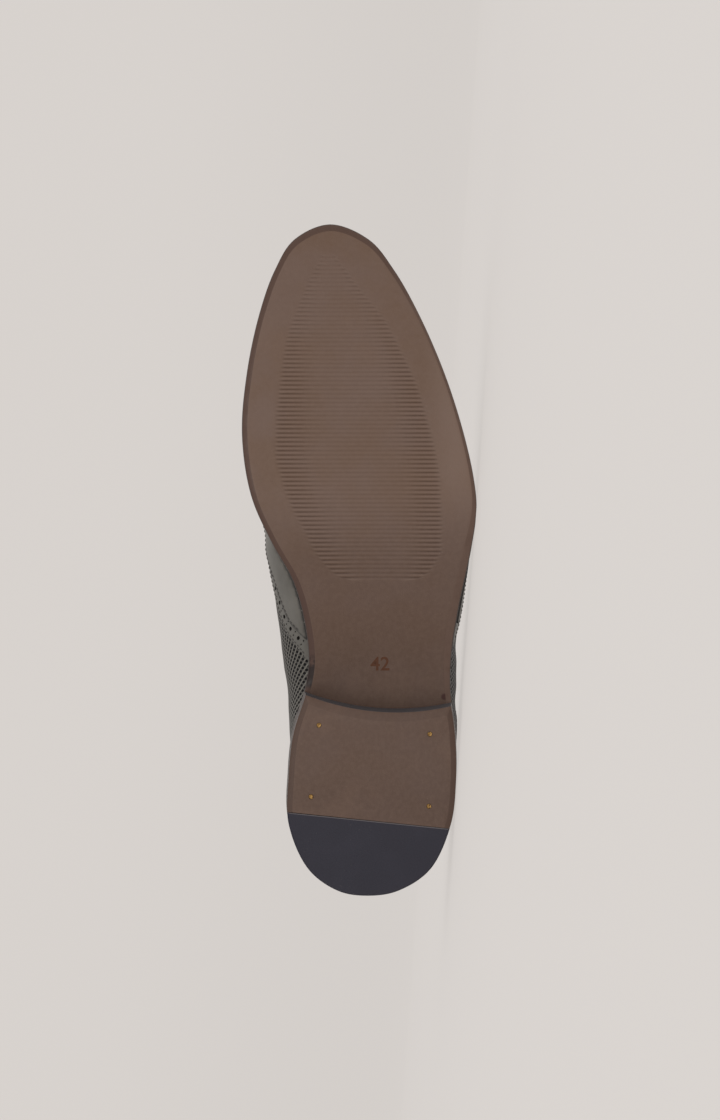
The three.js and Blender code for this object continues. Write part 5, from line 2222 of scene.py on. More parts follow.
    def build_rubber(self) -> None:
        """Builds the rubber rear of the top piece."""
        bench, _, s = self.tools()
        lean = (s.rubber_inner - self.rubber_lean, s.rubber_outer - self.rubber_lean, 0.0)
        form = Form()
        face = self.outline(s.heel_taper + s.rubber_bevel, lean)
        rim = self.outline(s.heel_taper, (s.rubber_inner, s.rubber_outer, 0.0))
        self.face(form, face, lambda x: 0.0, spacing=2.6)
        depth = np.full(len(rim), s.top_bevel_depth)
        depth[-(self.across_steps - 2):] = 0.03
        rings = [self.raised(face, 0.0), self.raised(rim, depth), self.raised(rim, s.top_piece)]
        self.stack(form, rings, (0, 0.0), (0, self.joint_tone))
        self.face(form, rim, lambda x: s.top_piece)
        kinds = [bench.finishes.rubber]
        bench.piece(form, "top_piece_rubber_block", kinds, "top_piece_rubber", "top_piece_rubber")

    def nail_ring(self, number: int, radius: float) -> np.ndarray:
        """A circle round one nail."""
        s = self.bench.last.sizes
        return circle(NAILS[number] * np.array([s.length, s.ball_width]), radius, self.nail_sides)

    def build_nails(self) -> None:
        """Builds the dished nail heads and their shanks."""
        bench, _, s = self.tools()
        titles = ("nail_front_inner", "nail_front_outer", "nail_back_inner", "nail_back_outer")
        for number, title in enumerate(titles):
            form = Form()
            rings = [
                self.raised(self.nail_ring(number, s.nail_radius * share), z)
                for share, z in ((0.02, self.nail_dish), (0.35, self.nail_dish),
                                 (0.7, self.nail_dish * 0.5), (0.92, 0.02), (1.0, 0.1), (1.0, 1.15))
            ]
            for low, high in zip(rings, rings[1:]):
                form.grid(np.stack([low, high], 1), 0, closed=True)
            for end in (rings[0], rings[-1]):
                form.add(end, [range(len(end))])
            bench.piece(form, "head_of_" + title, [bench.finishes.brass], "nail_brass", title)

    def build(self) -> None:
        """Builds every piece of the heel."""
        self.build_stack()
        self.build_top_piece()
        self.build_rubber()
        self.build_nails()


def cut(
    outline: np.ndarray,
    holes: list[np.ndarray],
    spacing: float,
) -> tuple[np.ndarray, list[tuple[int, ...]]]:
    """Fills a flat outline with even triangles, leaving its holes open.

    Args:
        outline: The closed outline, one place a row.
        holes: Closed outlines of the holes.
        spacing: Distance between the places inside.

    Returns:
        The places and the triangles between them.
    """
    loops = [outline, *holes]
    rim = np.concatenate(loops)
    edges = []
    start = 0
    for loop in loops:
        count = len(loop)
        edges.extend((start + i, start + (i + 1) % count) for i in range(count))
        start += count
    inside = fill_points(loops, spacing)
    near = kdtree.KDTree(len(rim))
    for i, (x, y) in enumerate(rim):
        near.insert((x, y, 0), i)
    near.balance()
    kept = [(x, y) for x, y in inside if near.find((x, y, 0))[2] > 0.55 * spacing]
    places = [Vector(p) for p in rim.tolist() + kept]
    points, _, faces, _, _, _ = delaunay_2d_cdt(places, edges, [], 2, 1e-5)
    made = np.array([p[:] for p in points])
    triangles = np.array(faces)
    middles = made[triangles].mean(1)
    filled = np.ones(len(triangles), bool)
    for hole in holes:
        centre = hole.mean(0)
        reach = np.linalg.norm((hole + np.roll(hole, -1, axis=0)) / 2 - centre, axis=1).min()
        filled &= np.linalg.norm(middles - centre, axis=1) > reach
    return made, [tuple(face) for face in triangles[filled].tolist()]


def fill_points(loops: list[np.ndarray], spacing: float) -> list[tuple[float, float]]:
    """Staggered rows of places inside the first loop and outside the others.

    Args:
        loops: The outline, then its holes.
        spacing: Distance from place to place.

    Returns:
        The places.
    """
    low, high = loops[0].min(0), loops[0].max(0)
    places = []
    starts = np.concatenate(loops)
    ends = np.concatenate([np.roll(loop, -1, axis=0) for loop in loops])
    rise = spacing * math.sqrt(3) / 2
    for row, y in enumerate(np.arange(low[1] + rise / 2, high[1], rise)):
        crossed = (starts[:, 1] > y) != (ends[:, 1] > y)
        a, b = starts[crossed], ends[crossed]
        if len(a) == 0:
            continue
        meets = np.sort(a[:, 0] + (y - a[:, 1]) / (b[:, 1] - a[:, 1]) * (b[:, 0] - a[:, 0]))
        xs = np.arange(low[0] + (row % 2) * spacing / 2, high[0], spacing)
        inside = np.searchsorted(meets, xs) % 2 == 1
        places.extend((float(x), float(y)) for x in xs[inside])
    return places


class Chart(Enum):
    """How a panel is laid flat: from the ridge outwards, from the sole upwards, or from the throat down."""

    RIDGE = "ridge"
    SOLE = "sole"
    THROAT = "throat"


@dataclass
class Flat:
    """A flat pattern's places on the last."""

    last: Last
    chart: Chart
    throat_side: int = OUTER

    def arc(self, side: int) -> np.ndarray:
        """Distance along the sole's edge from each section to the heel back.

        Args:
            side: INNER or OUTER.

        Returns:
            One distance for each of the last's sections.
        """
        line = self.last.inside_edge(side, self.last.ks, 0.0)
        steps = np.linalg.norm(np.diff(line, axis=0), axis=1)
        return np.concatenate([np.cumsum(steps[::-1])[::-1], [0.0]])

    def to_flat(self, side: int, k: np.ndarray, share: np.ndarray) -> np.ndarray:
        """Places on the last as places of the pattern.

        Args:
            side: INNER or OUTER.
            k: The sections.
            share: How far up its section each place is.

        Returns:
            The pattern's places.
        """
        last = self.last
        k, share = np.broadcast_arrays(np.asarray(k, float), np.asarray(share, float))
        length = last.length_of(side, k)
        if self.chart is Chart.RIDGE:
            return last.spine(k) + last.out(side, k) * (length * (1 - share))[..., None]
        if self.chart is Chart.SOLE:
            return np.stack([side * np.interp(k, last.ks, self.arc(side)), length * share], -1)
        down = (last.top_of(side, k) - share) * length
        return np.stack([last.x_at(side, k), down], -1)

    def on_last(self, flat: np.ndarray) -> tuple[np.ndarray, np.ndarray, np.ndarray]:
        """Places of the pattern as sides, sections and shares.

        Args:
            flat: The pattern's places.

        Returns:
            The side, the section and the share up it of each place.
        """
        last = self.last
        x, y = flat[:, 0], flat[:, 1]
        if self.chart is Chart.THROAT:
            side = np.full(len(x), self.throat_side)
            k = last.k_at(self.throat_side, x)
            share = last.top_of(self.throat_side, k) - y / last.length_of(self.throat_side, k)
            return side, k, share
        if self.chart is Chart.SOLE:
            side = np.where(x >= 0, OUTER, INNER)
            k = np.zeros(len(x))
            share = np.zeros(len(x))
            for s in SIDES:
                here = side == s
                k[here] = np.interp(np.abs(x[here]), self.arc(s)[::-1], last.ks[::-1])
                share[here] = y[here] / last.length_of(s, k[here])
            return side, k, share
        t = np.clip((last.toe[0] - x) / (last.toe[0] - last.heel[0]), 0, 1)
        middle = mix(last.toe[1], last.heel[1], t)
        side = np.where(y >= middle, OUTER, INNER)
        ahead = x - last.toe[0]
        turned = np.arctan2(np.abs(y - last.toe[1]), np.maximum(ahead, 0)) / (math.pi / 2)
        k = np.where(ahead > 0, turned, 1 + t)
        away = np.where(ahead > 0, np.hypot(ahead, y - last.toe[1]), np.abs(y - middle))
        share = np.zeros(len(x))
        for s in SIDES:
            here = side == s
            share[here] = 1 - away[here] / last.length_of(s, k[here])
        return side, k, share

    def lay(self, flat: np.ndarray, offset: np.ndarray | float) -> np.ndarray:
        """Places of the pattern laid on the last, an offset out of the upper's face.

        Args:
            flat: The pattern's places.
            offset: How far out of the upper's outer face.

        Returns:
            Standing places.
        """
        side, k, share = self.on_last(flat)
        offset = np.broadcast_to(np.asarray(offset, float), (len(flat),))
        points = np.zeros((len(flat), 3))
        for s in SIDES:
            here = side == s
            if here.any():
                points[here] = self.last.lay(s, k[here], share[here], offset[here])
        return points

    def normals(self, flat: np.ndarray) -> np.ndarray:
        """Normals at places of the pattern.

        Args:
            flat: The pattern's places.

        Returns:
            One direction for each place.
        """
        side, k, share = self.on_last(flat)
        ways = np.zeros((len(flat), 3))
        for s in SIDES:
            here = side == s
            if here.any():
                ways[here] = self.last.normal(s, k[here], share[here])
        return ways


def spaced(line: np.ndarray, step: float) -> np.ndarray:
    """A line of places made even.

    Args:
        line: The line, one place a row.
        step: About how far apart the places get.

    Returns:
        The even line.
    """
    along = run_of(line)
    count = max(2, int(round(along[-1] / step)) + 1)
    return read_line(line, along, np.linspace(0, along[-1], count))


def beside(line: np.ndarray, distance: np.ndarray | float) -> np.ndarray:
    """A line of places moved to its left by a distance.

    Args:
        line: The line, one place a row.
        distance: How far it moves.

    Returns:
        The moved line.
    """
    way = unit(np.gradient(line, axis=0))
    left = np.column_stack([-way[:, 1], way[:, 0]])
    return line + left * np.broadcast_to(np.asarray(distance, float), (len(line),))[:, None]


def trimmed(line: np.ndarray, edge: np.ndarray, distance: float) -> np.ndarray:
    """A moved line without the places that crowd its edge."""
    near = np.array([np.linalg.norm(edge - p, axis=1).min() for p in line])
    return line[near > 0.93 * distance]


def circle(centre: np.ndarray, radius: float, sides: int) -> np.ndarray:
    """A round hole's outline."""
    angle = np.arange(sides) * 2 * math.pi / sides
    return centre + radius * np.column_stack([np.cos(angle), np.sin(angle)])


@dataclass
class Brogue:
    """The brogued border of a panel: saw-toothed edge, punched holes and two seams."""

    tooth_pitch: float = 2.0
    tooth_height: float = 0.55
    hole_pitch: float = 7.5
    hole_radius: float = 1.0
    pin_radius: float = 0.42
    pin_gap: float = 1.05
    band: float = 6.4
    outer_seam: float = 1.1
    step: float = 0.5

    def gimped(self, edge: np.ndarray) -> np.ndarray:
        """An edge cut into small teeth.

        Args:
            edge: The edge, with the leather on its left.

        Returns:
            The toothed edge.
        """
        line = spaced(edge, self.step)
        wave = np.abs(((np.arange(len(line)) * self.step / self.tooth_pitch) % 1) - 0.5) * 2
        depth = self.tooth_height * wave
        depth[:3] = 0
        depth[-3:] = 0
        return beside(line, depth)

    def holes(self, edge: np.ndarray, sides: int = 14) -> list[np.ndarray]:
        """Large holes down the band's middle with pairs of pinholes between them.

        Args:
            edge: The band's edge, with the leather on its left.
            sides: How many corners a large hole has.

        Returns:
            The holes' outlines.
        """
        middle = beside(spaced(edge, self.step), self.band / 2 + self.outer_seam / 2)
        spots = spaced(middle, self.hole_pitch)[1:-1]
        found = [circle(p, self.hole_radius, sides) for p in spots]
        halfway = (spots[:-1] + spots[1:]) / 2
        ways = unit(spots[1:] - spots[:-1])
        for p, way in zip(halfway, ways):
            left = np.array([-way[1], way[0]])
            found.extend(circle(p + left * self.pin_gap * sign, self.pin_radius, 8) for sign in (-1, 1))
        return found


@dataclass
class Panel:
    """A leather laid on the upper: cut flat, punched, and laid with its real thickness."""

    bench: Bench
    flat: Flat
    spacing: float = 1.6
    low: float = 0.02
    high: float = 1.45
    rim_tone: float = 0.18

    def build(self, name: str, outline: np.ndarray, holes: list[np.ndarray], *nodes: str) -> None:
        """Cuts and lays the leather.

        Args:
            name: The piece's name.
            outline: Its closed outline in the pattern.
            holes: Its holes.
            nodes: The CAD nodes that it stands for.
        """
        bench = self.bench
        places, faces = cut(outline, holes, self.spacing)
        rim = self.rim_of(faces)
        tone = np.zeros(len(places))
        tone[list({i for edge in rim for i in edge})] = self.rim_tone
        top = self.flat.lay(places, self.high)
        under = self.flat.lay(places, self.low)
        lay = np.column_stack([places, np.zeros(len(places))])
        form = Form()
        form.add(top, faces, 0, lay, tone)
        form.add(under, [face[::-1] for face in faces], 0, lay, 1.0)
        ends = np.array(sorted({i for edge in rim for i in edge}))
        row = {int(i): n for n, i in enumerate(ends)}
        walls = [(row[b], row[a], row[a] + len(ends), row[b] + len(ends)) for a, b in rim]
        form.add(np.concatenate([top[ends], under[ends]]), walls, 0, np.tile(lay[ends], (2, 1)), 0.8)
        # Each hole is closed a little under the face by the near-black sheet: painted shade in the hole.
        for hole in holes:
            wide = hole.mean(0) + (hole - hole.mean(0)) * 1.06
            form.add(self.flat.lay(wide, mix(self.low, self.high, 0.2)), [range(len(hole))], 1)
        kinds = [bench.finishes.smooth, bench.finishes.hole_shade_sheet]
        bench.piece(form, name, kinds, "smooth_leather", *nodes, merge=0.002)

    @staticmethod
    def rim_of(faces: list[tuple[int, ...]]) -> list[tuple[int, int]]:
        """Edges that only one triangle has."""
        edges = {(face[n], face[(n + 1) % len(face)]) for face in faces for n in range(len(face))}
        return [(a, b) for a, b in edges if (b, a) not in edges]

    def seam(self, form: Form, line: np.ndarray) -> None:
        """Sews along a line of the pattern."""
        fine = spaced(line, SEAM_STEP)
        Seam.sew(form, self.flat.lay(fine, self.high), self.flat.normals(fine))


@dataclass
class Upper(Assembly):
    """The woven-embossed upper, its lining, and the leathers laid on it."""

    rows: int = 62
    rim_bulge: float = 0.7
    quarter_seam: float = 183.0
    quarter_stitches: tuple[float, float] = (0.9, 2.7)
    counter_seam_gap: float = 1.3
    net_pull: float = 0.45
    net_reach: float = 26.0
    strip_low: float = 0.95
    cap_low: float = 0.8
    cap_high: float = 1.7
    # How dark the cap's face is along its rim: the dark cut edge, with painted shade along the cap's raised
    # edge.
    cap_rim_shade_tone: float = 0.7
    cap_seam: float = 0.9
    foot_step: float = 1.4
    facing_nose: float = 7.0
    facing_seams: tuple[float, float] = (1.2, 5.2)
    throat_seam: float = 1.8
    eyelet_radius: float = 1.75
    facing_pin_inset: float = 3.3
    facing_pin_radius: float = 0.5
    facing_pin_pitch: float = 3.6
    collar_seams: tuple[float, float] = (2.2, 7.0)
    strap_seam: float = 1.1
    strap_share: float = 0.97
    strap_taper: float = 0.8
    seat_gap: float = 0.03
    brogue: Brogue = field(default_factory=Brogue)

    def ks(self) -> np.ndarray:
        """Sections of the upper, close together at the throat's front end.

        Returns:
            The sections, from the toe to the heel back.
        """
        _, last, s = self.tools()
        front = float(last.k_at(OUTER, s.throat_front))
        near = front + (np.linspace(0, 1, 10) ** 2) * 0.02
        toe, along, heel = np.linspace(0, 1, 46), np.linspace(1, 2, 170), np.linspace(2, 3, 46)
        return np.unique(np.concatenate([toe, along, near, heel]))

    def build_shell(self) -> None:
        """Builds the outer leather, lining and the rolled edge between them."""
        bench, last, s = self.tools()
        form = Form()
        for side in SIDES:
            seam = float(last.k_at(side, self.quarter_seam))
            ks = np.unique(np.append(self.ks(), seam))
            top = last.top_of(side, ks)
            up = top[:, None] * np.linspace(0, 1, self.rows + 1)[None]
            k = np.broadcast_to(ks[:, None], up.shape)
            outside = last.lay(side, k, up, 0.0)
            inside = last.lay(side, k, up, -s.wall)
            split = int(np.searchsorted(ks, seam))
            for part, chart in ((slice(None, split + 1), Chart.RIDGE), (slice(split, None), Chart.SOLE)):
                lay = self.weave_places(chart, side, k[part], up[part])
                form.grid(outside[part], 0, lay=lay, flip=side < 0)
                form.grid(inside[part], 1, lay=lay, flip=side > 0)
            outer_foot, inner_foot = outside[:, 0], inside[:, 0]
            foot = np.stack([outer_foot, self.seated(outer_foot), self.seated(inner_foot), inner_foot], 1)
            form.grid(foot, 1)
            self.roll(form, side, ks, top, outside[:, -1], inside[:, -1])
        kinds = [bench.finishes.woven, bench.finishes.lining]
        bench.piece(form, "upper_leather", kinds, "woven_leather", "upper")
        self.sew_quarters()

    def seated(self, places: np.ndarray) -> np.ndarray:
        """Places of the foot let down onto the welt.

        Args:
            places: Standing places of the foot.

        Returns:
            The same places, no higher than the welt's face and a small gap.
        """
        down = places.copy()
        down[:, 2] = np.minimum(down[:, 2], self.bench.last.welt_top(down[:, 0]) + self.seat_gap)
        return down

    def weave_places(self, chart: Chart, side: int, k: np.ndarray, share: np.ndarray) -> np.ndarray:
        """Where the net lies on the leather. On a quarter, lasting pulls it longer near the sole.

        Args:
            chart: How that leather is laid flat.
            side: INNER or OUTER.
            k: The section of each point.
            share: How far up its section each point is.

        Returns:
            The net's places, with 0 as their third number.
        """
        flat = Flat(self.bench.last, chart).to_flat(side, k, share)
        if chart is Chart.SOLE:
            flat[..., 0] = np.abs(flat[..., 0])
            flat[..., 1] -= self.net_pull * self.net_reach * (1 - np.exp(-flat[..., 1] / self.net_reach))
        return np.concatenate([flat, np.zeros((*flat.shape[:-1], 1))], -1)

    def sew_quarters(self) -> None:
        """Sews each quarter's front edge over the vamp, between the facing and the wing."""
        bench, last, s = self.tools()
        stitches = Form()
        for side in SIDES:
            for back in self.quarter_stitches:
                x = self.quarter_seam - back
                k = float(last.k_at(side, x))
                low = float(WING_EDGE[side].read("up", x / s.length))
                high = float(last.top_of(side, k)) - s.facing_width / float(last.length_of(side, k))
                share = np.linspace(low, high, 80)
                ks = np.full(80, k)
                Seam.sew(stitches, last.lay(side, ks, share, THREAD_LIFT), last.normal(side, ks, share))
        bench.sewing(stitches, "quarter_stitches", "woven_leather")

    def roll(
        self,
        form: Form,
        side: int,
        ks: np.ndarray,
        top: np.ndarray,
        outside: np.ndarray,
        inside: np.ndarray,
    ) -> None:
        """Adds the rounded top edge of the collar and throat.

        Args:
            form: The form that it goes to.
            side: INNER or OUTER.
            ks: The upper's sections.
            top: How far up each section the upper ends.
            outside: The outer face's top places.
            inside: The lining's top places.
        """
        _, last, s = self.tools()
        open_edge = top < 0.9999
        if not open_edge.any():
            return
        first = int(np.argmax(open_edge))
        keep = slice(max(first - 1, 0), None)
        below = last.lay(side, ks, np.maximum(top - 0.03, 0), -s.wall / 2)
        up = unit(last.lay(side, ks, top, -s.wall / 2) - below)
        rings = [outside[keep]]
        for share, lift in ((0.12, 0.55), (0.3, 0.9), (0.5, 1.0), (0.7, 0.9), (0.88, 0.55)):
            rings.append((mix(outside, inside, share) + up * self.rim_bulge * lift)[keep])
        rings.append(inside[keep])
        form.grid(np.stack(rings, 1), 1, tone=0.6, flip=side < 0)

    def wing_edge(self, flat: Flat, side: int) -> np.ndarray:
        """The wing's top edge on one side, from its tail to the ridge.

        Args:
            flat: The pattern.
            side: INNER or OUTER.

        Returns:
            The edge in the pattern.
        """
        _, last, s = self.tools()
        table = WING_EDGE[side]
        at = np.linspace(table.place[0], table.place[-1], 160)
        low = flat.to_flat(side, last.k_at(side, at * s.length), table.read("up", at))
        up = np.linspace(table.columns["up"][-1], 1.0, 30)
        high = flat.to_flat(side, last.k_at(side, WING_PEAK.read("at", up) * s.length), up)
        return np.concatenate([low, high[1:]])

    def build_wing(self) -> None:
        """Builds the toe cap with its wings, punched and sewn."""
        bench, last = self.bench, self.bench.last
        flat = Flat(last, Chart.RIDGE)
        panel = Panel(bench, flat)
        inner = self.wing_edge(flat, INNER)
        outer = self.wing_edge(flat, OUTER)
        gimped_inner = self.brogue.gimped(inner[::-1])[::-1]
        gimped_outer = self.brogue.gimped(outer)
        tails = {side: WING_EDGE[side].place[0] * last.sizes.length for side in SIDES}
        outline = self.closed(flat, tails, gimped_outer, gimped_inner)
        panel.high = self.strip_low
        holes = self.clear(self.brogue.holes(outer) + self.mirrored_holes(inner), outline)
        panel.build("wing_cap_strip", outline, holes, "wing_cap")
        # The cap's rim is darkened more than other panels': painted shade along its raised edge.
        body = Panel(bench, flat, low=self.cap_low, high=self.cap_high, rim_tone=self.cap_rim_shade_tone)
        inset_outer = self.cap_edge(flat, outer, self.brogue.band)
        inset_inner = self.cap_edge(flat, inner, -self.brogue.band)
        tails = {INNER: inset_inner[0, 0], OUTER: inset_outer[0, 0]}
        outline = self.closed(flat, tails, inset_outer, inset_inner)
        body.build("wing_cap_leather", outline, self.clear(self.medallion(), outline))
        stitches = Form()
        for side, line in ((OUTER, outer), (INNER, inner)):
            fine = spaced(line, SEAM_STEP)
            low = beside(fine, side * self.brogue.outer_seam)
            high = beside(fine, side * (self.brogue.band + self.cap_seam))
            panel.seam(stitches, self.own_side(flat, side, low))
            body.seam(stitches, self.own_side(flat, side, high)[4:])
        bench.sewing(stitches, "wing_cap_stitches", "smooth_leather")

    @staticmethod
    def own_side(flat: Flat, side: int, line: np.ndarray) -> np.ndarray:
        """The part of a line that stays on its own side of the ridge, clear of the foot."""
        sides, _, share = flat.on_last(line)
        return line[(sides == side) & (share > 0.02) & (share < 0.985)]

    @staticmethod
    def cap_edge(flat: Flat, edge: np.ndarray, distance: float) -> np.ndarray:
        """The cap's top edge, a distance inside the strip's, from where it leaves the foot.

        Args:
            flat: The pattern.
            edge: The strip's top edge.
            distance: How far the cap's lies to its left.

        Returns:
            The cap's edge in the pattern.
        """
        line = trimmed(beside(spaced(edge, 0.6), distance), edge, abs(distance))
        share = flat.on_last(line)[2]
        return line[share > 0.004]

    def closed(
        self,
        flat: Flat,
        tails: dict[int, float],
        outer: np.ndarray,
        inner: np.ndarray,
    ) -> np.ndarray:
        """A wing's outline: round the foot from tail to tail, then back along its top edges.

        Args:
            flat: The pattern.
            tails: How far along the shoe each side's tail is.
            outer: The outer side's top edge.
            inner: The inner side's top edge.

        Returns:
            The closed outline.
        """
        foot = []
        for side in (INNER, OUTER):
            tail = float(flat.last.k_at(side, tails[side]))
            k = np.linspace(tail, 0, 260) if side < 0 else np.linspace(0, tail, 260)
            foot.append(spaced(flat.to_flat(side, k, 0 * k), self.foot_step))
        return np.concatenate([foot[0][:-1], foot[1][:-1], outer[:-1], inner[::-1][:-1]])

    def mirrored_holes(self, edge: np.ndarray) -> list[np.ndarray]:
        """Holes along an edge whose leather lies to its right."""
        return self.brogue.holes(edge[::-1])

    @staticmethod
    def clear(holes: list[np.ndarray], outline: np.ndarray) -> list[np.ndarray]:
        """Holes that stay off the outline and off each other.

        Args:
            holes: The holes' outlines.
            outline: The panel's outline.

        Returns:
            The holes that are kept.
        """
        kept: list[np.ndarray] = []
        centres: list[tuple[np.ndarray, float]] = []
        for hole in holes:
            centre = hole.mean(0)
            radius = float(np.linalg.norm(hole[0] - centre))
            room = np.linalg.norm(outline - centre, axis=1).min() - radius
            apart = all(np.linalg.norm(centre - c) > radius + r + 0.3 for c, r in centres)
            if room > 0.4 and apart:
                kept.append(hole)
                centres.append((centre, radius))
        return kept

    def medallion(self) -> list[np.ndarray]:
        """A plain pattern of holes on the toe: a ring of small ones round a cross of large ones.

        Returns:
            The holes' outlines.
        """
        last = self.bench.last
        middle = np.array([last.toe[0] + 1.0, last.toe[1]])
        spots = [(0.0, 0.0, 1.25)]
        for n in range(8):
            angle = n * math.pi / 4
            spots.append((5.0 * math.cos(angle), 5.0 * math.sin(angle), 0.95 if n % 2 == 0 else 0.6))
        for n in range(16):
            angle = (n + 0.5) * math.pi / 8
            spots.append((9.4 * math.cos(angle), 8.2 * math.sin(angle), 0.5))
        spots.extend([(-13.5, 0.0, 0.95), (13.5, 0.0, 0.95), (0.0, -11.8, 0.8), (0.0, 11.8, 0.8)])
        return [circle(middle + np.array([x, y]), r, 14 if r > 0.7 else 8) for x, y, r in spots]

    def counter_edge(self, flat: Flat) -> np.ndarray:
        """The counter's top edge from its outer front round the heel to its inner front.

        Args:
            flat: The pattern.

        Returns:
            The edge in the pattern.
        """
        _, last, s = self.tools()
        parts = []
        for side in (OUTER, INNER):
            table = COUNTER_EDGE[side]
            at = np.linspace(table.place[-1], 0.0, 140)
            k = last.k_at(side, at * s.length)
            line = flat.to_flat(side, k, table.read("up", at))
            parts.append(line if side > 0 else line[::-1])
        return np.concatenate([parts[0], parts[1][1:]])

    def build_counter(self) -> None:
        """Builds the heel counter."""
        bench, last = self.bench, self.bench.last
        flat = Flat(last, Chart.SOLE)
        panel = Panel(bench, flat)
        edge = self.counter_edge(flat)
        gimped = self.brogue.gimped(edge)
        foot = np.array([[x, 0.0] for x in np.linspace(edge[-1, 0], edge[0, 0], 120)])
        outline = np.concatenate([gimped[:-1], foot[:-1]])
        holes = self.clear(self.brogue.holes(edge), outline)
        panel.build("heel_counter_leather", outline, holes, "heel_counter")
        stitches = Form()
        low, high = self.brogue.outer_seam, self.brogue.band
        for distance in (low, high, high + self.counter_seam_gap):
            panel.seam(stitches, beside(spaced(edge, SEAM_STEP), distance)[8:-8])
        bench.sewing(stitches, "heel_counter_stitches", "smooth_leather")

    def build_facings(self) -> None:
        """Builds both facings with their eyelet holes."""
        bench, last, s = self.tools()
        for side, title in ((INNER, "facing_inner"), (OUTER, "facing_outer")):
            flat = Flat(last, Chart.THROAT, side)
            panel = Panel(bench, flat, spacing=1.3)
            front, back, width = s.throat_front - 0.3, s.throat_back, s.facing_width
            bend = np.linspace(0, 1, 30) * math.pi / 2
            nose_x = front - self.facing_nose * (1 - np.cos(bend)) ** 1.4
            nose = np.column_stack([nose_x, width * np.sin(bend)])
            lower = np.column_stack([np.linspace(nose[-1, 0], back, 90), np.full(90, width)])
            edge = np.concatenate([nose, lower[1:]])
            fine = spaced(edge, 0.5)
            rear = np.column_stack([np.full(20, back), np.linspace(width, 0, 20)])
            throat = np.column_stack([np.linspace(back, front, 90), np.zeros(90)])
            outline = np.concatenate([fine[:-1], rear[:-1], throat[:-1]])
            eyes = [circle(np.array(spot), self.eyelet_radius, 20) for spot in self.eyelets(side)]
            row = spaced(beside(fine, self.facing_pin_inset), self.facing_pin_pitch)
            pins = [circle(p, self.facing_pin_radius, 8) for p in row[1:-1]]
            panel.build(title + "_leather", outline, self.clear(eyes + pins, outline), title)
            stitches = Form()
            for distance in self.facing_seams:
                panel.seam(stitches, beside(fine, distance)[3:-3])
            rim = np.column_stack([np.linspace(front - 2, back + 2, 200), np.full(200, self.throat_seam)])
            panel.seam(stitches, rim)
            bench.sewing(stitches, title + "_stitches", "smooth_leather")

    def eyelets(self, side: int) -> list[tuple[float, float]]:
        """Where the eyelets lie in the facing's pattern.

        Args:
            side: INNER or OUTER.

        Returns:
            How far along the shoe each one is, and how far below the throat's edge.
        """
        _, last, s = self.tools()
        front = float(last.k_at(OUTER, s.throat_front))
        back = float(last.k_at(OUTER, s.throat_back))
        shares = [(number + 0.5) / s.lace_bars for number in range(s.lace_bars)]
        return [(float(last.x_at(side, mix(front, back, share))), s.eyelet_inset) for share in shares]

    def build_strap(self) -> None:
        """Builds the strap over the back seam."""
        bench, last, _ = self.tools()
        flat = Flat(last, Chart.SOLE)
        panel = Panel(bench, flat, spacing=1.1)
        length = float(last.length_of(OUTER, 3.0))
        foot = COUNTER_EDGE[OUTER].columns["up"][0] * length + 1.0
        top = float(last.top_of(OUTER, 3.0)) * length
        low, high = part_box("back_strap")
        half = 0.5 * self.strap_share * (high - low).z / MM
        t = np.linspace(0, 1, 60)
        wide = mix(half, half * self.strap_taper, t)
        up = mix(foot, top, t)
        right = np.column_stack([wide, up])
        left = np.column_stack([-wide, up])[::-1]
        across = np.column_stack([np.linspace(wide[-1], -wide[-1], 14), np.full(14, top)])
        below = np.column_stack([np.linspace(-half, half, 14), np.full(14, foot)])
        outline = np.concatenate([right[:-1], across[:-1], left[:-1], below[:-1]])
        panel.build("back_strap_leather", outline, [], "back_strap")
        stitches = Form()
        for sign in (-1, 1):
            panel.seam(stitches, np.column_stack([sign * (wide - self.strap_seam), up])[3:-3])
        bench.sewing(stitches, "back_strap_stitches", "smooth_leather")

    def build_collar_seams(self) -> None:
        """Sews the collar's binding."""
        bench, last, s = self.tools()
        stitches = Form()
        for side in SIDES:
            k = np.linspace(float(last.k_at(side, s.throat_back)) + 0.02, 2.93, 500)
            for down in self.collar_seams:
                share = last.top_of(side, k) - down / last.length_of(side, k)
                Seam.sew(stitches, last.lay(side, k, share, THREAD_LIFT), last.normal(side, k, share))
        bench.sewing(stitches, "collar_stitches", "woven_leather")

    def build(self) -> None:
        """Builds the whole upper."""
        self.build_shell()
        self.build_wing()
        self.build_counter()
        self.build_facings()
        self.build_strap()
        self.build_collar_seams()


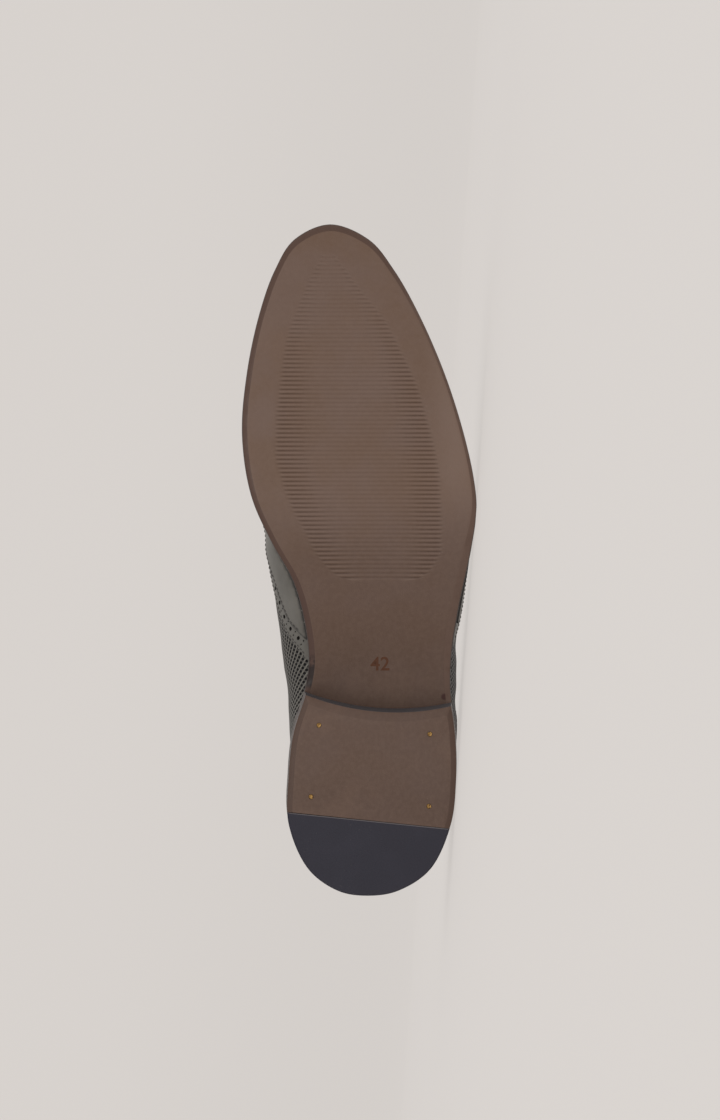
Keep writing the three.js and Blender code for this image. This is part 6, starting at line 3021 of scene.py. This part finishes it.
@dataclass
class Tongue(Assembly):
    """The tongue under the facings."""

    columns: int = 120
    rows: int = 30

    def build(self) -> None:
        """Builds the tongue with rounded edges."""
        bench, last, s = self.tools()
        form = Form()
        high = -s.wall - s.tongue_clearance
        ends = (float(last.k_at(OUTER, x)) for x in (s.tongue_front, s.tongue_top))
        ks = np.linspace(*ends, self.columns)
        taper = np.interp(ks, [ks[0], ks[-6], ks[-3], ks[-1]], [1.0, 1.0, 0.97, 0.88])
        for side in SIDES:
            length = last.length_of(side, ks)
            start = 1 - s.tongue_half * taper / length
            t = np.linspace(0, 1, self.rows)[None]
            share = start[:, None] + (1 - start[:, None]) * t
            k = np.broadcast_to(ks[:, None], share.shape)
            rim = np.minimum(ease(t / 0.12 + 0.25), 1.0) * np.ones_like(share)
            ends = np.minimum(1.0, 0.3 + np.arange(len(ks))[::-1] / 4.0)[:, None]
            thick = s.tongue * rim * ends
            middle = high - s.tongue / 2
            lay = np.stack([last.x_at(side, k), side * share * length[:, None], 0 * share], -1)
            top = last.lay(side, k, share, middle + thick / 2)
            under = last.lay(side, k, share, middle - thick / 2)
            form.grid(top, 0, lay=lay, flip=side < 0)
            form.grid(under, 1, lay=lay, flip=side > 0)
            for a, b in ((top[:, 0], under[:, 0]), (top[0], under[0]), (top[-1], under[-1])):
                form.grid(np.stack([a, b], 1), 0)
        kinds = [bench.finishes.smooth, bench.finishes.lining]
        bench.piece(form, "tongue_leather", kinds, "tongue_leather", "tongue")


@dataclass
class Insole(Assembly):
    """The insole with its sock leather."""

    edge_round: float = 0.6

    def build(self) -> None:
        """Builds the insole."""
        bench, last, s = self.tools()
        form = Form()
        k = np.linspace(0, 3, 220)
        low = s.sole_thickness + s.clearance
        high = low + s.insole
        edge = {}
        for side in SIDES:
            _, feather = last.insets(side, k)
            edge[side] = feather + s.welt_reach + s.curved_clearance
        t = np.linspace(0, 1, 25)
        for rise, flip in ((low, False), (high, True)):
            inset = self.edge_round if rise == high else 0.0
            a = last.inside_edge(INNER, k, edge[INNER] + inset)
            b = last.inside_edge(OUTER, k, edge[OUTER] + inset)
            plan = mix(a[:, None], b[:, None], t[None, :, None])
            form.grid(last.above(plan, rise), 0, flip=flip)
        corner = ((0.0, low), (0.0, high - self.edge_round), (0.2, high - 0.2), (self.edge_round, high))
        for side in SIDES:
            profile = [(edge[side] + inset, rise) for inset, rise in corner]
            form.grid(last.strip(side, k, profile), 0, flip=side > 0)
        bench.piece(form, "insole_leather", [bench.finishes.insock], "insole_leather", "insole")


@dataclass
class Lace(Assembly):
    """One lace in straight bars, whose two ends stop hidden at the first and the last bar."""

    upper: Upper
    sides: int = 12
    flatten: float = 0.85
    hole_depth: float = 1.6
    hidden_depth: float = 2.9
    step: float = 0.8
    rounding: int = 3

    def hole(self, number: int, side: int) -> tuple[float, float]:
        """Section and share of an eyelet.

        Args:
            number: The bar, 0 at the front.
            side: INNER or OUTER.

        Returns:
            The section, and the share up it.
        """
        last = self.bench.last
        x, down = self.upper.eyelets(side)[number]
        k = float(last.k_at(side, x))
        return k, float(last.top_of(side, k) - down / last.length_of(side, k))

    def over(self, number: int, start: int) -> list[np.ndarray]:
        """Places of a bar that leaves one eyelet and crosses to the other.

        Args:
            number: The bar, 0 at the front.
            start: The side that it leaves from.

        Returns:
            The route's places.
        """
        _, last, s = self.tools()
        lift = Panel.high + s.curved_clearance + s.lace / 2
        places = []
        for side in (start, -start):
            k, share = self.hole(number, side)
            run = np.linspace(share, 1.0, 7)
            heights = np.full(7, lift)
            heights[0] = 0.3
            heights[1] = lift * 0.82
            run = np.concatenate([[share - 0.004], run])
            heights = np.concatenate([[-self.hole_depth], heights])
            line = list(last.lay(side, np.full(8, k), run, heights))
            places.extend(line if side == start else line[::-1][1:])
        return places

    def under(self, number: int, after: int, side: int) -> list[np.ndarray]:
        """Places of the hidden run from one eyelet to the next on the same side.

        Args:
            number: The bar that it leaves.
            after: The bar that it goes to.
            side: INNER or OUTER.

        Returns:
            The route's places.
        """
        last = self.bench.last
        k0, u0 = self.hole(number, side)
        k1, u1 = self.hole(after, side)
        t = np.linspace(0.2, 0.8, 4)
        k, share = mix(k0, k1, t), mix(u0, u1, t)
        return list(last.lay(side, k, share, np.full(4, -self.hidden_depth)))

    def build(self) -> None:
        """Builds the lace as one tube along its route."""
        bench, _, s = self.tools()
        side = INNER
        route = self.under(1, 0, side)[2:]
        for number in range(s.lace_bars):
            route.extend(self.over(number, side))
            side = -side
            if number + 1 < s.lace_bars:
                route.extend(self.under(number, number + 1, side))
        form = Form()
        self.tube(form, self.smoothed(np.array(route)))
        nodes = [f"lace_bar_{n + 1}" for n in range(s.lace_bars)]
        bench.piece(form, "lace", [bench.finishes.lace], "lace_cotton", *nodes, corner=math.radians(80))

    def smoothed(self, line: np.ndarray) -> np.ndarray:
        """A route rounded between its places.

        Args:
            line: The route, one place a row.

        Returns:
            The rounded route.
        """
        along = run_of(line)
        out = read_line(line, along, np.linspace(0, along[-1], int(along[-1] / self.step)))
        for _ in range(self.rounding):
            out[1:-1] = (out[:-2] + 2 * out[1:-1] + out[2:]) / 4
        return out

    def tube(self, form: Form, line: np.ndarray) -> None:
        """Adds a tube along a line.

        Args:
            form: The form that it goes to.
            line: The line, one place a row.
        """
        radius = self.bench.last.sizes.lace / 2
        way = unit(np.gradient(line, axis=0))
        up = np.array([0.0, 0.0, 1.0])
        rings, lays = [], []
        angle = np.linspace(0, 2 * math.pi, self.sides + 1)
        along = run_of(line)
        side = np.cross(up, way[0])
        for p, w, run in zip(line, way, along):
            side = unit(side - w * (side @ w))
            rise = np.cross(w, side)
            ring = np.outer(np.cos(angle), side) + self.flatten * np.outer(np.sin(angle), rise)
            rings.append(p + radius * ring)
            lays.append(np.column_stack([np.full(len(angle), run), angle * radius, 0 * angle]))
        form.grid(np.array(rings), 0, lay=np.array(lays))
        for ring in (rings[0], rings[-1]):
            form.add(ring[:-1], [range(self.sides)])


@dataclass
class Studio(Assembly):
    """Pale floor and backdrop, soft lights and the camera."""

    distance: float = 900.0
    aim: float = 151.4
    view_height: float = 500.6
    sensor: float = 36.0
    lamp_distance: float = 1700.0
    lamp_height: float = 0.75
    floor_rings: tuple[float, float, float] = (0.05, 0.5, 1.2)
    floor_radius: float = 1.9
    curve: float = 0.7
    wall_height: float = 2.4
    wall_sides: int = 96
    curve_steps: int = 16
    front_lamp: tuple[float, float] = (1.5, 11.0)
    top_lamp: tuple[float, float] = (2.0, 6.0)
    top_lamp_place: tuple[float, float, float] = (0.3, 0.3, 2.2)
    lamp_aim: tuple[float, float, float] = (0.0, 0.0, 0.05)
    sky: float = 0.38

    def build_floor(self) -> None:
        """Builds a round floor that curves up into a wall on every side."""
        profile = [(radius, 0.0) for radius in (*self.floor_rings, self.floor_radius)]
        for n in range(1, self.curve_steps + 1):
            angle = n / self.curve_steps * math.pi / 2
            rise = self.curve * (1 - math.cos(angle))
            profile.append((self.floor_radius + self.curve * math.sin(angle), rise))
        profile.append((self.floor_radius + self.curve, self.wall_height))
        sides = self.wall_sides
        angles = [n * 2 * math.pi / sides for n in range(sides)]
        points = [(r * math.cos(a), r * math.sin(a), z) for r, z in profile for a in angles]
        faces = [
            (i + n, i + (n + 1) % sides, i + sides + (n + 1) % sides, i + sides + n)
            for i in range(0, (len(profile) - 1) * sides, sides) for n in range(sides)
        ]
        faces.append(tuple(reversed(range(sides))))
        mesh = bpy.data.meshes.new("studio_floor")
        mesh.from_pydata(points, [], faces)
        mesh.materials.append(self.bench.finishes.floor)
        mesh.shade_smooth()
        floor = bpy.data.objects.new("studio_floor", mesh)
        bpy.context.scene.collection.objects.link(floor)

    def lamp(
        self,
        name: str,
        place: Sequence[float],
        size: float,
        power: float,
        colour: Sequence[float],
    ) -> None:
        """Adds a soft square lamp that points at the shoe.

        Args:
            name: The lamp's name.
            place: Where it hangs, in metres.
            size: The length of its side, in metres.
            power: Its power, in watts.
            colour: Its red, green and blue.
        """
        light = bpy.data.lights.new(name, "AREA")
        light.size = size
        light.energy = power
        light.color = colour
        lamp = bpy.data.objects.new(name, light)
        lamp.location = place
        way = Vector(self.lamp_aim) - Vector(place)
        lamp.rotation_euler = way.to_track_quat("-Z", "Y").to_euler()
        bpy.context.scene.collection.objects.link(lamp)

    def build_lights(self) -> None:
        """Lights the shoe softly from the sole's side and from above."""
        front = self.bench.lying.place(np.array([self.aim, 0.0, -self.lamp_distance]))
        front[2] = self.lamp_height
        self.lamp("front lamp", tuple(front), *self.front_lamp, (1.0, 0.99, 0.98))
        self.lamp("top lamp", self.top_lamp_place, *self.top_lamp, (1.0, 1.0, 1.0))
        world = bpy.data.worlds.new("studio light")
        world.use_nodes = True
        bpy.context.scene.world = world
        background = world.node_tree.nodes["Background"]
        background.inputs["Color"].default_value = (0.98, 0.98, 1.0, 1.0)
        background.inputs["Strength"].default_value = self.sky

    def build_camera(self) -> None:
        """Looks straight at the sole with the toe up, as the photograph does."""
        lying = self.bench.lying
        camera = bpy.data.cameras.new("photo camera")
        camera.sensor_fit = "VERTICAL"
        camera.sensor_height = self.sensor
        camera.sensor_width = self.sensor
        camera.lens = self.sensor * self.distance / self.view_height
        camera.clip_start = 0.01
        camera.dof.use_dof = False
        eye = bpy.data.objects.new("photo camera", camera)
        right, up, forward = lying.turn(np.array([[0, 1, 0], [1, 0, 0], [0, 0, 1]]))
        turn = Matrix((right, up, -forward)).transposed()
        place = lying.place(np.array([self.aim, 0.0, -self.distance]))
        eye.matrix_world = Matrix.Translation(Vector(place)) @ turn.to_4x4()
        bpy.context.scene.collection.objects.link(eye)
        bpy.context.scene.camera = eye

    def build(self) -> None:
        """Sets up the studio."""
        self.build_floor()
        self.build_lights()
        self.build_camera()
        bpy.context.scene.view_settings.view_transform = "Standard"


def main() -> None:
    """Builds every sub-assembly in order."""
    logging.basicConfig(level=logging.INFO, format="%(name)s: %(message)s")
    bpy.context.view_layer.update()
    last = Last(Sizes())
    bench = Bench(last, Lying(frame["record"]), Finishes())
    upper = Upper(bench)
    for assembly in (Outsole(bench), Welt(bench), Heel(bench), upper, Tongue(bench), Insole(bench),
                     Lace(bench, upper), Studio(bench)):
        assembly.build()
        log.info("%s is ready", type(assembly).__name__)


if __name__ == "__main__":
    main()
